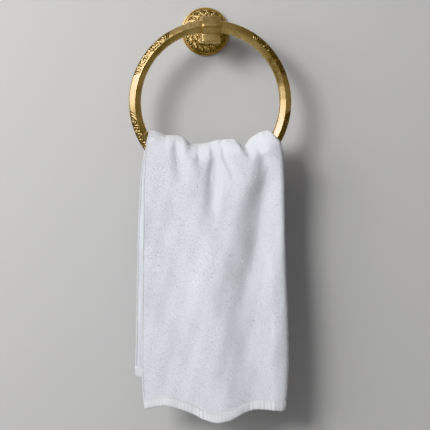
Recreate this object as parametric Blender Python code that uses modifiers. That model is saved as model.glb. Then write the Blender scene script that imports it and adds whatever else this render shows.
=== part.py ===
"""White terry hand towel, folded in half lengthwise and hung through a brass towel ring.

The ring is held by a knuckle on a short turned post, and the post stands on a round wall rosette.
Metres, +Z up, the front faces -Y. The origin is the centre of the rosette's flat back, on the wall.
"""

import math
from bisect import bisect_right
from collections import namedtuple

import bpy

MM = 0.001

# Gap that pieces which touch keep between their meshes.
SEAT_GAP = 0.3 * MM

# Rosette: a turned disc with a plain rim and a domed face, its flat back on the wall.
ROSETTE_RADIUS = 24.8 * MM
ROSETTE_RIM_DEPTH = 2.6 * MM
ROSETTE_RIM_WIDTH = 1.5 * MM
ROSETTE_GROOVE_DEPTH = 0.6 * MM
ROSETTE_DOME_DEPTH = 9.5 * MM
ROSETTE_SEAT_RADIUS = 9.6 * MM
ROSETTE_RIM_RISE = 0.6 * MM
ROSETTE_RIM_SOFTENING = 0.4 * MM
ROSETTE_STEPS = 48
DOME_STEPS = 8

# Post: a turned neck from the rosette to the knuckle.
POST_COLLAR_RADIUS = 9.0 * MM
POST_COLLAR_LENGTH = 2.4 * MM
POST_NECK_RADIUS = 6.4 * MM
POST_HEAD_RADIUS = 8.4 * MM
POST_COVE_LENGTH = 5.0 * MM
POST_STEPS = 32
COVE_STEPS = 5

# Ring: a hoop of lozenge bar whose front and back each have one soft ridge.
RING_PLANE_Y = -50.0 * MM
RING_RADIUS = 76.2 * MM
RING_TOP_Z = 3.6 * MM
RING_CENTRE_Z = RING_TOP_Z - RING_RADIUS
BAR_WIDTH = 12.0 * MM
BAR_DEPTH = 10.8 * MM
BAR_EDGE = 3.2 * MM
RING_STEPS = 72
# A quarter of the lozenge above its edge, as shares of its half width and half depth.
BAR_QUARTER = ((0.88, 0.52), (0.55, 0.80), (0.12, 1.0))

# Knuckle: a block with the bar's bore, a rounded nose in front of the bar and a sloped lip below it.
KNUCKLE_WIDTH = 18.5 * MM
KNUCKLE_BACK_Y = -38.0 * MM
KNUCKLE_NOSE_Y = -60.5 * MM
KNUCKLE_TOP_Z = 13.5 * MM
KNUCKLE_BOTTOM_Z = -13.6 * MM
KNUCKLE_BEVEL = 0.8 * MM
NOSE_RADIUS = 5.0 * MM
NOSE_HEIGHT = 3.4 * MM
NOSE_START = 144
NOSE_END = 222
NOSE_POINTS = 6
TOP_SETBACK = 6.2 * MM
CREASE_SETBACK = 3.6 * MM
CREASE_Z = -5.0 * MM
LIP_SETBACK = 0.4 * MM
LIP_HEIGHT = 1.8 * MM
LIP_UNDERCUT = 2.2 * MM

# Towel: the thickness of one layer, how far apart its two layers lie loose and pressed on the bar, and
# how far the lengthwise fold swells and bends back.
LAYER = 2.2 * MM
LAYER_STEP = 5.8 * MM
PRESSED_STEP = 4.0 * MM
FACET_ALLOWANCE = 0.5 * MM
BAR_CLEARANCE = BAR_WIDTH / 2 + SEAT_GAP + LAYER / 2 + FACET_ALLOWANCE
FRONT_Y = -66.5 * MM
BACK_Y = -35.0 * MM
FOLD_LEAD = 16.0 * MM
FOLD_BEND = 2.0 * MM
CROWN_ROLL = 3.0 * MM
ARCH_RISE = 15.0 * MM
ROW_CROWDING = 1.25
# The layer of a drop that is hidden behind the other stands back from the free edge by this much.
HIDDEN_INSET = 1.6 * MM
# Past its first and last row a fold dies away over this length.
FOLD_FADE = 12.0 * MM
# On a steep fold the layers part by at most this factor, and at the lengthwise fold by as many radii.
STEEPEST_PARTING = 1.6
SLOPE_PROBE = 1.0 * MM
# Below the bar a drop may sink back: from how far below, over which length and how deep.
RELEASE_START = 3.0 * MM
RELEASE_LENGTH = 26.0 * MM
RELEASE_DEPTH = 14.0 * MM
BAR_BLEND = 0.6 * MM

# Grid of the towel: columns across the two layers, rows from the front hem over the ring to the back hem.
OUTER_COLUMNS = 34
ROLL_COLUMNS = 6
INNER_COLUMNS = 18
FRONT_ROWS = 22
ARCH_ROWS = 8
BACK_ROWS = 10

EdgeRow = namedtuple("EdgeRow", "z left right roll")
LineRow = namedtuple("LineRow", "x z")
FoldRow = namedtuple("FoldRow", "z x rise left right")

# Where a drop's free edges (left) and its lengthwise fold (right) lie, and the fold's radius, in mm.
FRONT_EDGES = (
    EdgeRow(z=-101, left=-61.5, right=61.5, roll=2.6),
    EdgeRow(z=-110, left=-64.5, right=66.0, roll=2.8),
    EdgeRow(z=-121, left=-67.3, right=70.5, roll=3.4),
    EdgeRow(z=-150, left=-69.0, right=73.0, roll=5.0),
    EdgeRow(z=-253, left=-71.0, right=76.0, roll=6.0),
    EdgeRow(z=-295, left=-71.5, right=78.0, roll=6.5),
    EdgeRow(z=-340, left=-72.0, right=78.8, roll=6.5),
    EdgeRow(z=-379, left=-70.0, right=76.5, roll=5.0),
    EdgeRow(z=-398, left=-68.0, right=72.5, roll=4.0),
)
BACK_EDGES = (
    EdgeRow(z=-101, left=-61.5, right=59.5, roll=3.0),
    EdgeRow(z=-121, left=-66.5, right=62.5, roll=3.0),
    EdgeRow(z=-151, left=-70.5, right=69.0, roll=4.0),
    EdgeRow(z=-223, left=-74.0, right=73.0, roll=6.0),
    EdgeRow(z=-337, left=-77.0, right=75.0, roll=6.0),
    EdgeRow(z=-366, left=-78.5, right=75.5, roll=5.0),
)

# The top line, where the cloth passes through the ring, and the two hems, in mm, from left to right.
TOP_LINE = (
    LineRow(x=-62, z=-99.5),
    LineRow(x=-54, z=-102),
    LineRow(x=-44, z=-105.5),
    LineRow(x=-36, z=-105.5),
    LineRow(x=-28, z=-107.5),
    LineRow(x=-20, z=-114.5),
    LineRow(x=-8, z=-114),
    LineRow(x=2, z=-112),
    LineRow(x=8, z=-110.5),
    LineRow(x=23, z=-109.5),
    LineRow(x=33, z=-117),
    LineRow(x=43, z=-107.5),
    LineRow(x=53, z=-102),
    LineRow(x=64, z=-100),
)
FRONT_HEM = (
    LineRow(x=-69, z=-382),
    LineRow(x=-49, z=-379),
    LineRow(x=-36, z=-382),
    LineRow(x=-21, z=-388),
    LineRow(x=-8, z=-394.5),
    LineRow(x=6, z=-398),
    LineRow(x=17, z=-396.5),
    LineRow(x=34, z=-389),
    LineRow(x=47, z=-386),
    LineRow(x=73, z=-389),
)
BACK_HEM = (
    LineRow(x=-78, z=-354.5),
    LineRow(x=-40, z=-358),
    LineRow(x=0, z=-366),
    LineRow(x=40, z=-360),
    LineRow(x=75, z=-355),
)

# Folds, in mm. Each row gives the fold's middle at a height, how far it stands forward (negative: a
# trough), and how far it spreads to its left and right. A fold fades out past its first and last row.
FRONT_FOLDS = {
    "left pleat": (
        FoldRow(z=-100, x=-39, rise=-2.0, left=4, right=6),
        FoldRow(z=-118, x=-37, rise=-2.8, left=4, right=7),
        FoldRow(z=-135, x=-34, rise=-2.2, left=5, right=8),
        FoldRow(z=-155, x=-32, rise=0.0, left=6, right=9),
    ),
    "second pleat": (
        FoldRow(z=-104, x=-20, rise=-2.2, left=3, right=6),
        FoldRow(z=-116, x=-17, rise=-2.8, left=3.5, right=7),
        FoldRow(z=-128, x=-14, rise=-2.6, left=4, right=8),
        FoldRow(z=-150, x=-7, rise=0.0, left=6, right=9),
    ),
    "middle trough": (
        FoldRow(z=-104, x=8, rise=-2.0, left=5, right=14),
        FoldRow(z=-116, x=8, rise=-2.8, left=5, right=16),
        FoldRow(z=-130, x=5, rise=-4.2, left=7, right=20),
        FoldRow(z=-150, x=3, rise=-5.4, left=9.5, right=24),
        FoldRow(z=-165, x=3, rise=-5.2, left=10, right=26),
        FoldRow(z=-185, x=4, rise=-3.4, left=10, right=26),
        FoldRow(z=-205, x=5, rise=-1.4, left=11, right=26),
        FoldRow(z=-225, x=6, rise=0.0, left=12, right=26),
    ),
    "main ridge": (
        FoldRow(z=-104, x=14, rise=1.0, left=9, right=14),
        FoldRow(z=-130, x=14, rise=2.0, left=9, right=18),
        FoldRow(z=-165, x=12, rise=2.5, left=10, right=22),
        FoldRow(z=-205, x=8, rise=3.0, left=18, right=26),
        FoldRow(z=-245, x=2, rise=4.0, left=24, right=30),
        FoldRow(z=-330, x=0, rise=3.2, left=32, right=30),
        FoldRow(z=-400, x=4, rise=3.8, left=30, right=28),
    ),
    "great valley": (
        FoldRow(z=-104, x=31, rise=-2.0, left=5, right=7),
        FoldRow(z=-116, x=38, rise=-2.4, left=5, right=7),
        FoldRow(z=-121, x=46, rise=-3.2, left=6, right=8),
        FoldRow(z=-130, x=53, rise=-5.0, left=7.5, right=10),
        FoldRow(z=-150, x=56, rise=-8.8, left=11, right=15),
        FoldRow(z=-165, x=53, rise=-10.8, left=13.5, right=19),
        FoldRow(z=-185, x=50, rise=-12.0, left=16, right=24),
        FoldRow(z=-210, x=48, rise=-10.5, left=16.5, right=28),
        FoldRow(z=-235, x=46, rise=-7.2, left=17, right=30),
        FoldRow(z=-260, x=39, rise=-4.4, left=17, right=30),
        FoldRow(z=-290, x=34, rise=-3.2, left=17, right=30),
        FoldRow(z=-320, x=34, rise=-2.4, left=17, right=28),
        FoldRow(z=-350, x=38, rise=-1.8, left=16, right=26),
        FoldRow(z=-390, x=35, rise=-1.2, left=15, right=24),
    ),
    "right roll": (
        FoldRow(z=-100, x=56, rise=2.0, left=12, right=10),
        FoldRow(z=-125, x=62, rise=1.5, left=12, right=10),
        FoldRow(z=-180, x=66, rise=0.5, left=12, right=10),
        FoldRow(z=-300, x=66, rise=0.5, left=12, right=10),
        FoldRow(z=-390, x=62, rise=1.0, left=12, right=10),
    ),
}
BACK_FOLDS = {
    "left back ridge": (
        FoldRow(z=-110, x=-34, rise=1.5, left=14, right=16),
        FoldRow(z=-240, x=-36, rise=3.5, left=20, right=20),
        FoldRow(z=-366, x=-34, rise=3.0, left=22, right=20),
    ),
    "middle back trough": (
        FoldRow(z=-104, x=2, rise=-2.0, left=9, right=10),
        FoldRow(z=-200, x=0, rise=-3.5, left=14, right=14),
        FoldRow(z=-366, x=4, rise=-2.0, left=18, right=16),
    ),
    "right back ridge": (
        FoldRow(z=-110, x=36, rise=1.5, left=12, right=16),
        FoldRow(z=-220, x=38, rise=4.0, left=16, right=18),
        FoldRow(z=-366, x=42, rise=4.5, left=20, right=18),
    ),
}


# Scene helpers


def clear_scene():
    for old in list(bpy.data.objects):
        bpy.data.objects.remove(old)


def new_collection(name, parent):
    collection = bpy.data.collections.new(name)
    parent.children.link(collection)
    return collection


def new_material(name, colour, roughness, metallic):
    material = bpy.data.materials.new(name)
    material.use_nodes = True
    shader = material.node_tree.nodes["Principled BSDF"]
    shader.inputs["Base Color"].default_value = (*colour, 1.0)
    shader.inputs["Roughness"].default_value = roughness
    shader.inputs["Metallic"].default_value = metallic
    return material


def new_object(name, mesh, collection, material=None):
    obj = bpy.data.objects.new(name, mesh)
    collection.objects.link(obj)
    if material:
        mesh.materials.append(material)
    return obj


def line_mesh(name, points, closed=False):
    """An open or closed line of edges, the profile that Screw turns."""
    edges = [(i, i + 1) for i in range(len(points) - 1)]
    if closed:
        edges.append((len(points) - 1, 0))
    mesh = bpy.data.meshes.new(name)
    mesh.from_pydata(points, edges, [])
    return mesh


def turn(obj, steps):
    """Turns the object's profile once round its own Z axis."""
    screw = obj.modifiers.new("Turn", "SCREW")
    screw.axis = "Z"
    screw.steps = steps
    screw.render_steps = steps
    screw.use_merge_vertices = True
    screw.merge_threshold = 0.00001
    screw.use_smooth_shade = True
    return screw


def arc(centre, radius, start, end, count):
    """Points on an arc, as pairs, from one angle in degrees to another."""
    angles = [math.radians(start + (end - start) * i / (count - 1)) for i in range(count)]
    return [(centre[0] + radius * math.cos(a), centre[1] + radius * math.sin(a)) for a in angles]


# Brass fittings. Turned pieces are drawn round +Z and laid over, so that their +Z becomes -Y.

FACE_FRONT = (math.radians(90), 0, 0)


def turned_piece(name, profile, steps, collection, material):
    """A turned piece from (radius, height) pairs that run from its front on the axis to its back."""
    mesh = line_mesh(name, [(radius, 0, height) for radius, height in profile])
    obj = new_object(name, mesh, collection, material)
    turn(obj, steps)
    obj.rotation_euler = FACE_FRONT
    return obj


def rosette_profile():
    """A flat seat for the post, a dome, a small groove inside the rim, the rim, and the flat back."""
    groove_radius = ROSETTE_RADIUS - ROSETTE_RIM_WIDTH
    groove_height = ROSETTE_RIM_DEPTH - ROSETTE_GROOVE_DEPTH
    span = groove_radius - ROSETTE_SEAT_RADIUS
    drop = ROSETTE_DOME_DEPTH - groove_height
    profile = [(0, ROSETTE_DOME_DEPTH)]
    for i in range(DOME_STEPS + 1):
        angle = math.radians(90 * i / DOME_STEPS)
        radius = ROSETTE_SEAT_RADIUS + span * math.sin(angle)
        profile.append((radius, groove_height + drop * math.cos(angle)))
    profile.append((groove_radius + ROSETTE_RIM_RISE, ROSETTE_RIM_DEPTH))
    profile.append((ROSETTE_RADIUS - ROSETTE_RIM_SOFTENING, ROSETTE_RIM_DEPTH))
    profile.append((ROSETTE_RADIUS, ROSETTE_RIM_DEPTH - ROSETTE_RIM_SOFTENING))
    profile.append((ROSETTE_RADIUS, 0))
    profile.append((0, 0))
    return profile


def post_profile():
    """A flared head at the knuckle, a plain neck and a collar on the rosette."""
    base = ROSETTE_DOME_DEPTH + SEAT_GAP
    head = -KNUCKLE_BACK_Y - SEAT_GAP
    profile = [(0, head), (POST_HEAD_RADIUS, head)]
    for i in range(COVE_STEPS + 1):
        angle = math.radians(90 * i / COVE_STEPS)
        flare = (POST_HEAD_RADIUS - POST_NECK_RADIUS) * (1 - math.sin(angle))
        fall = POST_COVE_LENGTH * (1 - math.cos(angle))
        profile.append((POST_NECK_RADIUS + flare, head - POST_COLLAR_LENGTH - fall))
    for i in range(COVE_STEPS + 1):
        angle = math.radians(90 * i / COVE_STEPS)
        flare = (POST_COLLAR_RADIUS - POST_NECK_RADIUS) * (1 - math.cos(angle))
        rise = POST_COVE_LENGTH * (1 - math.sin(angle))
        profile.append((POST_NECK_RADIUS + flare, base + POST_COLLAR_LENGTH + rise))
    profile.append((POST_COLLAR_RADIUS, base))
    profile.append((0, base))
    return profile


def bar_section(clearance):
    """The bar's lozenge section as (radius from the ring's centre, depth) pairs, grown by a clearance."""
    half_width = BAR_WIDTH / 2 + clearance
    half_depth = BAR_DEPTH / 2 + clearance
    quarter = [(half_width, BAR_EDGE / 2)]
    quarter += [(out * half_width, deep * half_depth) for out, deep in BAR_QUARTER]
    outer_front = quarter
    inner_front = [(-r, d) for r, d in reversed(quarter)]
    inner_back = [(-r, -d) for r, d in quarter]
    outer_back = [(r, -d) for r, d in reversed(quarter)]
    loop = outer_front + inner_front + inner_back + outer_back
    # Run the other way round, so that the outer side goes from front to back.
    return [(RING_RADIUS + r, d) for r, d in reversed(loop)]


def ring_hoop(name, clearance, collection, material=None):
    """The hoop, turned round its own axis and stood up in its plane."""
    section = bar_section(clearance)
    mesh = line_mesh(name, [(radius, 0, depth) for radius, depth in section], closed=True)
    hoop = new_object(name, mesh, collection, material)
    turn(hoop, RING_STEPS)
    hoop.rotation_euler = FACE_FRONT
    hoop.location = (0, RING_PLANE_Y, RING_CENTRE_Z)
    return hoop


def knuckle_profile():
    """Side outline of the knuckle, as (y, z) pairs: sloped top face, round nose, crease, sloped lip."""
    nose_centre = (KNUCKLE_NOSE_Y + NOSE_RADIUS, NOSE_HEIGHT)
    top_front = (KNUCKLE_NOSE_Y + TOP_SETBACK, KNUCKLE_TOP_Z)
    crease = (KNUCKLE_NOSE_Y + CREASE_SETBACK, CREASE_Z)
    lip_front = (KNUCKLE_NOSE_Y + LIP_SETBACK, KNUCKLE_BOTTOM_Z + LIP_HEIGHT)
    lip_bottom = (KNUCKLE_NOSE_Y + LIP_UNDERCUT, KNUCKLE_BOTTOM_Z)
    outline = [(KNUCKLE_BACK_Y, KNUCKLE_BOTTOM_Z), (KNUCKLE_BACK_Y, KNUCKLE_TOP_Z), top_front]
    outline += arc(nose_centre, NOSE_RADIUS, NOSE_START, NOSE_END, NOSE_POINTS)
    outline += [crease, lip_front, lip_bottom]
    return outline


def build_knuckle(collection, cutters, material):
    """The knuckle's outline as a filled curve, extruded to its width, then bored for the bar."""
    curve = bpy.data.curves.new("knuckle outline", "CURVE")
    curve.dimensions = "2D"
    curve.fill_mode = "BOTH"
    curve.extrude = KNUCKLE_WIDTH / 2
    outline = knuckle_profile()
    spline = curve.splines.new("POLY")
    spline.points.add(len(outline) - 1)
    for point, (y, z) in zip(spline.points, outline):
        point.co = (y, z, 0, 1)
    spline.use_cyclic_u = True
    drawn = new_object("knuckle outline", curve, collection)
    # The curve's own X, Y and Z become the world's Y, Z and X.
    drawn.rotation_euler = (math.radians(90), 0, math.radians(90))
    bpy.context.view_layer.update()
    evaluated = drawn.evaluated_get(bpy.context.evaluated_depsgraph_get())
    mesh = bpy.data.meshes.new_from_object(evaluated)
    knuckle = new_object("ring_knuckle", mesh, collection, material)
    knuckle.matrix_world = drawn.matrix_world.copy()
    bpy.data.objects.remove(drawn)

    weld = knuckle.modifiers.new("Join caps", "WELD")
    weld.merge_threshold = 0.00001
    bevel = knuckle.modifiers.new("Soft edges", "BEVEL")
    bevel.width = KNUCKLE_BEVEL
    bevel.segments = 2
    bevel.limit_method = "ANGLE"
    bevel.angle_limit = math.radians(50)
    bore = knuckle.modifiers.new("Bore for the bar", "BOOLEAN")
    bore.operation = "DIFFERENCE"
    bore.object = ring_hoop("bore cutter", SEAT_GAP, cutters)
    bore.object.hide_render = True
    bore.object.display_type = "WIRE"
    return knuckle


# Towel


def smooth_value(knots, values, at):
    """The smooth curve through (knot, value) pairs, knots rising, which never overshoots them."""
    at = min(max(at, knots[0]), knots[-1])
    steps = [(b - a) / (q - p) for a, b, p, q in zip(values, values[1:], knots, knots[1:])]
    inner = [0.0 if a * b <= 0 else 2 * a * b / (a + b) for a, b in zip(steps, steps[1:])]
    slopes = [steps[0], *inner, steps[-1]]
    i = min(bisect_right(knots, at) - 1, len(knots) - 2)
    width = knots[i + 1] - knots[i]
    t = (at - knots[i]) / width
    start = values[i] * (1 + 2 * t) * (1 - t) ** 2 + width * slopes[i] * t * (1 - t) ** 2
    end = values[i + 1] * t * t * (3 - 2 * t) - width * slopes[i + 1] * t * t * (1 - t)
    return start + end


def read_table(rows, key, column, at):
    """A named column of a table, read smoothly at a value of its key column. In and out in metres."""
    ordered = sorted(rows, key=lambda row: getattr(row, key))
    knots = [getattr(row, key) * MM for row in ordered]
    values = [getattr(row, column) * MM for row in ordered]
    return smooth_value(knots, values, at)


def fold_rise(folds, x, z):
    """How far all the folds together bring the cloth out of its plane at a place on a drop."""
    total = 0.0
    for rows in folds.values():
        top, bottom = rows[0].z * MM, rows[-1].z * MM
        beyond = max(z - top, bottom - z, 0.0)
        strength = math.exp(-((beyond / FOLD_FADE) ** 2))
        away = x - read_table(rows, "z", "x", z)
        spread = read_table(rows, "z", "left" if away < 0 else "right", z)
        total += strength * read_table(rows, "z", "rise", z) * math.exp(-((away / spread) ** 2))
    return total


def ease(t):
    t = min(max(t, 0.0), 1.0)
    return t * t * (3 - 2 * t)


# One of the two hanging drops: its tables, its plane and the way it faces along Y.
Drop = namedtuple("Drop", "edges hem folds y outward")
FRONT = Drop(edges=FRONT_EDGES, hem=FRONT_HEM, folds=FRONT_FOLDS, y=FRONT_Y, outward=-1)
BACK = Drop(edges=BACK_EDGES, hem=BACK_HEM, folds=BACK_FOLDS, y=BACK_Y, outward=1)


def column_place(column):
    """(fraction of the width, turn) of a column: turn is 1 on the outer layer and -1 on the inner one."""
    if column <= OUTER_COLUMNS:
        return column / OUTER_COLUMNS, 1.0
    column -= OUTER_COLUMNS
    if column <= ROLL_COLUMNS:
        return 1.0, 1.0 - 2.0 * column / ROLL_COLUMNS
    return 1.0 - (column - ROLL_COLUMNS) / INNER_COLUMNS, -1.0


def drop_x(drop, fraction, turn_angle, z):
    hidden = (1 + drop.outward * math.sin(turn_angle)) / 2
    left = read_table(drop.edges, "z", "left", z) + HIDDEN_INSET * hidden
    roll = read_table(drop.edges, "z", "roll", z)
    flat_end = read_table(drop.edges, "z", "right", z) - roll
    return left + fraction * (flat_end - left) + roll * math.cos(turn_angle)


def soft_least(a, b, blend):
    """The lesser of two values, with a soft change from one to the other."""
    return -blend * math.log(math.exp(-a / blend) + math.exp(-b / blend))


def in_front_of_bar(drop, x, z, y, outer_share):
    """Holds a layer off the bar where the drop hangs past it, and lets it go below the bar."""
    reach = BAR_DEPTH / 2 + SEAT_GAP + LAYER / 2 + FACET_ALLOWANCE + outer_share * PRESSED_STEP
    outer_radius = RING_RADIUS + BAR_WIDTH / 2
    bar_low = RING_CENTRE_Z - math.sqrt(max(outer_radius**2 - x * x, 0))
    limit = reach - RELEASE_DEPTH * ease((bar_low - RELEASE_START - z) / RELEASE_LENGTH)
    distance = drop.outward * (y - RING_PLANE_Y)
    return RING_PLANE_Y - drop.outward * soft_least(-distance, -limit, BAR_BLEND)


def drop_y(drop, x, z, turn_angle):
    """Depth of a layer's middle: the outer layer carries the folds and the inner one lies behind it."""
    right = read_table(drop.edges, "z", "right", z)
    roll = read_table(drop.edges, "z", "roll", z)
    outer_share = (1 + math.sin(turn_angle)) / 2
    near_fold = ease((x - (right - FOLD_LEAD)) / FOLD_LEAD)
    outer = drop.y + drop.outward * (fold_rise(drop.folds, x, z) - FOLD_BEND * near_fold)
    outer = in_front_of_bar(drop, x, z, outer, 1.0)
    ahead = fold_rise(drop.folds, x + SLOPE_PROBE, z)
    behind = fold_rise(drop.folds, x - SLOPE_PROBE, z)
    slope = (ahead - behind) / (2 * SLOPE_PROBE)
    apart = LAYER_STEP * min(math.hypot(1, slope), STEEPEST_PARTING)
    apart += max(STEEPEST_PARTING * roll - apart, 0) * near_fold
    inner = in_front_of_bar(drop, x, z, outer - drop.outward * apart, 0.0)
    return inner + (outer - inner) * outer_share


def way_off_bar(point, needed, outer_extra=0.0):
    """The shortest move that takes a point to its needed distance from the middle of the bar.

    outer_extra is more distance for a point that lies straight in front of the bar or behind it.
    """
    x, y, z = point
    radius = math.hypot(x, z - RING_CENTRE_Z)
    out_r, out_y = radius - RING_RADIUS, y - RING_PLANE_Y
    away = math.hypot(out_r, out_y)
    needed += outer_extra * (abs(out_y) / away) ** 3
    if away >= needed:
        return (0.0, 0.0, 0.0)
    grow = needed / away - 1
    return (x * out_r * grow / radius, out_y * grow, (z - RING_CENTRE_Z) * out_r * grow / radius)


def layer_crown_z(line_z, outer_share):
    """Height of a layer's middle where the outer layer's face reaches the top line."""
    return line_z - LAYER / 2 - (1 - outer_share) * LAYER_STEP


def crown_x(fraction, turn_angle, outer_share):
    """Where a column crosses over inside the ring, between the two sides of the bar."""
    room = RING_RADIUS - BAR_CLEARANCE
    sides = []
    for line in (TOP_LINE[0], TOP_LINE[-1]):
        height = layer_crown_z(line.z * MM, outer_share) - RING_CENTRE_Z
        sides.append(math.sqrt(room**2 - height**2))
    flat_end = sides[1] - CROWN_ROLL
    return -sides[0] + fraction * (flat_end + sides[0]) + CROWN_ROLL * math.cos(turn_angle)


def free_point(fraction, turned, row):
    """A point of the towel's middle surface as it would lie with no bar in its way."""
    turn_angle = math.radians(90) * turned
    outer_share = (1 + turned) / 2
    top_x = crown_x(fraction, turn_angle, outer_share)
    crown_z = layer_crown_z(read_table(TOP_LINE, "x", "z", top_x), outer_share)
    arch_z = crown_z - ARCH_RISE + (1 - outer_share) * LAYER_STEP
    if FRONT_ROWS <= row <= FRONT_ROWS + ARCH_ROWS:
        swing = math.pi * (row - FRONT_ROWS) / ARCH_ROWS
        front_x = drop_x(FRONT, fraction, turn_angle, arch_z)
        back_x = drop_x(BACK, fraction, turn_angle, arch_z)
        front_y = drop_y(FRONT, front_x, arch_z, turn_angle)
        back_y = drop_y(BACK, back_x, arch_z, turn_angle)
        share = (1 - math.cos(swing)) / 2
        low_x = front_x * (1 - share) + back_x * share
        x = top_x + (low_x - top_x) * math.cos(swing) ** 2
        y = front_y + (back_y - front_y) * share
        return x, y, arch_z + (crown_z - arch_z) * math.sin(swing)
    if row < FRONT_ROWS:
        drop, down = FRONT, (FRONT_ROWS - row) / FRONT_ROWS
    else:
        drop, down = BACK, (row - FRONT_ROWS - ARCH_ROWS) / BACK_ROWS
    hem_x = drop_x(drop, fraction, turn_angle, drop.hem[0].z * MM)
    hem_z = read_table(drop.hem, "x", "z", hem_x)
    # Rows lie closer together near the ring, where the folds are sharp.
    z = arch_z + (hem_z - arch_z) * down**ROW_CROWDING
    x = drop_x(drop, fraction, turn_angle, z)
    return x, drop_y(drop, x, z, turn_angle), z


def towel_point(column, row):
    """A point of the towel's middle surface, for a column across it and a row along it."""
    fraction, turned = column_place(column)
    point = free_point(fraction, turned, row)
    if fraction < 1:
        move = way_off_bar(point, BAR_CLEARANCE, PRESSED_STEP * (1 + turned) / 2)
    else:
        # The lengthwise fold moves as one, so that its roll stays round.
        ends = free_point(1.0, 1.0, row), free_point(1.0, -1.0, row)
        centre = [(a + b) / 2 for a, b in zip(*ends)]
        move = way_off_bar(centre, BAR_CLEARANCE + LAYER_STEP / 2)
    return [a + b for a, b in zip(point, move)]


def build_towel(collection, material):
    """A flat grid, one square of cloth for each cell, moved to its draped place and given thickness."""
    columns = OUTER_COLUMNS + ROLL_COLUMNS + INNER_COLUMNS
    rows = FRONT_ROWS + ARCH_ROWS + BACK_ROWS
    bpy.ops.mesh.primitive_grid_add(x_subdivisions=columns, y_subdivisions=rows, size=1)
    towel = bpy.context.object
    towel.name = "hand_towel"
    towel.data.name = "hand_towel"
    for vertex in towel.data.vertices:
        column = round((vertex.co.x + 0.5) * columns)
        row = round((vertex.co.y + 0.5) * rows)
        vertex.co = towel_point(column, row)
    for owner in list(towel.users_collection):
        owner.objects.unlink(towel)
    collection.objects.link(towel)
    towel.data.materials.append(material)
    towel.data.shade_smooth()
    cloth = towel.modifiers.new("Cloth thickness", "SOLIDIFY")
    cloth.thickness = LAYER
    cloth.offset = 0
    cloth.use_even_offset = True
    cloth.use_rim = True
    return towel


def main():
    clear_scene()
    parts = new_collection("hand towel on towel ring", bpy.context.scene.collection)
    cutters = new_collection("cutters", bpy.context.scene.collection)
    brass = new_material("aged brass", (0.50, 0.36, 0.12), 0.28, 1.0)
    terry = new_material("white terry", (0.80, 0.81, 0.84), 0.95, 0.0)

    turned_piece("wall_rosette", rosette_profile(), ROSETTE_STEPS, parts, brass)
    turned_piece("ring_post", post_profile(), POST_STEPS, parts, brass)
    build_knuckle(parts, cutters, brass)
    ring_hoop("towel_ring", 0, parts, brass)
    build_towel(parts, terry)


main()
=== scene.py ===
# %% [markdown]
# # White hand towel on an engraved brass ring
#
# The real thing is a small terry towel, folded once lengthwise and pushed through a brass ring.
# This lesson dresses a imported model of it: every piece is built in the model's own place and size.
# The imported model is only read, so each finer piece stands in for one of its nodes.

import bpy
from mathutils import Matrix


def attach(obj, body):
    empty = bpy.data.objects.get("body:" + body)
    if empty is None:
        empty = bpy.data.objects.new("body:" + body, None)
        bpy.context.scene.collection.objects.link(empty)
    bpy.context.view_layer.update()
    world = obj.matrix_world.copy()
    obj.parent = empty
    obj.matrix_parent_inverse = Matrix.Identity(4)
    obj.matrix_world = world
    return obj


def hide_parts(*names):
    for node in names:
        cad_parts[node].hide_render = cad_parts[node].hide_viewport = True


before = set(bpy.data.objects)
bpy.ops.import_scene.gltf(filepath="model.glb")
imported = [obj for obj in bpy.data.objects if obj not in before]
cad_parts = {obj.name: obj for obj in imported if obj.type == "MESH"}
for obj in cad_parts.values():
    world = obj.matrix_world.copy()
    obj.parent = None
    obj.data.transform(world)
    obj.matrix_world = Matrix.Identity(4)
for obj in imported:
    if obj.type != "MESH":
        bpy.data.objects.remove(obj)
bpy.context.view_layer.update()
print("nodes:", ", ".join(sorted(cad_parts)))

# %% [markdown]
# ## Units, seeds and helpers
#
# Numbers are in millimetres, because that is how a brass founder or a weaver would give them.
# They turn into metres once, when a mesh is made. A single seeded generator keeps each run the same.

# %% Modules and the seed
import math
from collections import namedtuple

import bpy
import numpy as np
from mathutils import Vector

MM = 0.001
chance = np.random.default_rng(20)

# %% [markdown]
# A table of a few rows can describe a long edge if it is read along a smooth curve.
# A cubic through the rows is the usual way, but a plain one swings past its own points.
# This one takes a harmonic mean of the slopes on each side, so it never overshoots.


# %% Smooth curves through short tables
def smooth_curve(knots, values, at):
    """The smooth curve through (knot, value) pairs, knots rising, read at an array of places."""
    knots = np.asarray(knots, dtype=float)
    values = np.asarray(values, dtype=float)
    steps = np.diff(values) / np.diff(knots)
    before, after = steps[:-1], steps[1:]
    same_way = before * after > 0
    total = np.where(same_way, before + after, 1.0)
    inner = np.where(same_way, 2 * before * after / total, 0.0)
    slopes = np.concatenate([steps[:1], inner, steps[-1:]])
    at = np.clip(at, knots[0], knots[-1])
    i = np.clip(np.searchsorted(knots, at, side="right") - 1, 0, len(knots) - 2)
    width = knots[i + 1] - knots[i]
    t = (at - knots[i]) / width
    start = values[i] * (1 + 2 * t) * (1 - t) ** 2 + width * slopes[i] * t * (1 - t) ** 2
    end = values[i + 1] * t * t * (3 - 2 * t) - width * slopes[i + 1] * t * t * (1 - t)
    return start + end


def read_table(rows, key, column, at):
    """A named column of a table, read smoothly at places along its key column."""
    ordered = sorted(rows, key=lambda row: getattr(row, key))
    knots = [getattr(row, key) for row in ordered]
    values = [getattr(row, column) for row in ordered]
    return smooth_curve(knots, values, at)


def ease(t):
    """Runs from 0 to 1 with a soft start and a soft end."""
    t = np.clip(t, 0.0, 1.0)
    return t * t * (3 - 2 * t)


# %% [markdown]
# Most pieces here are a grid of points bent into place, such as a bar's section carried round a hoop.
# Each cell of the grid becomes one four-sided face. A hoop's grid also joins its last row to its first.


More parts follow.
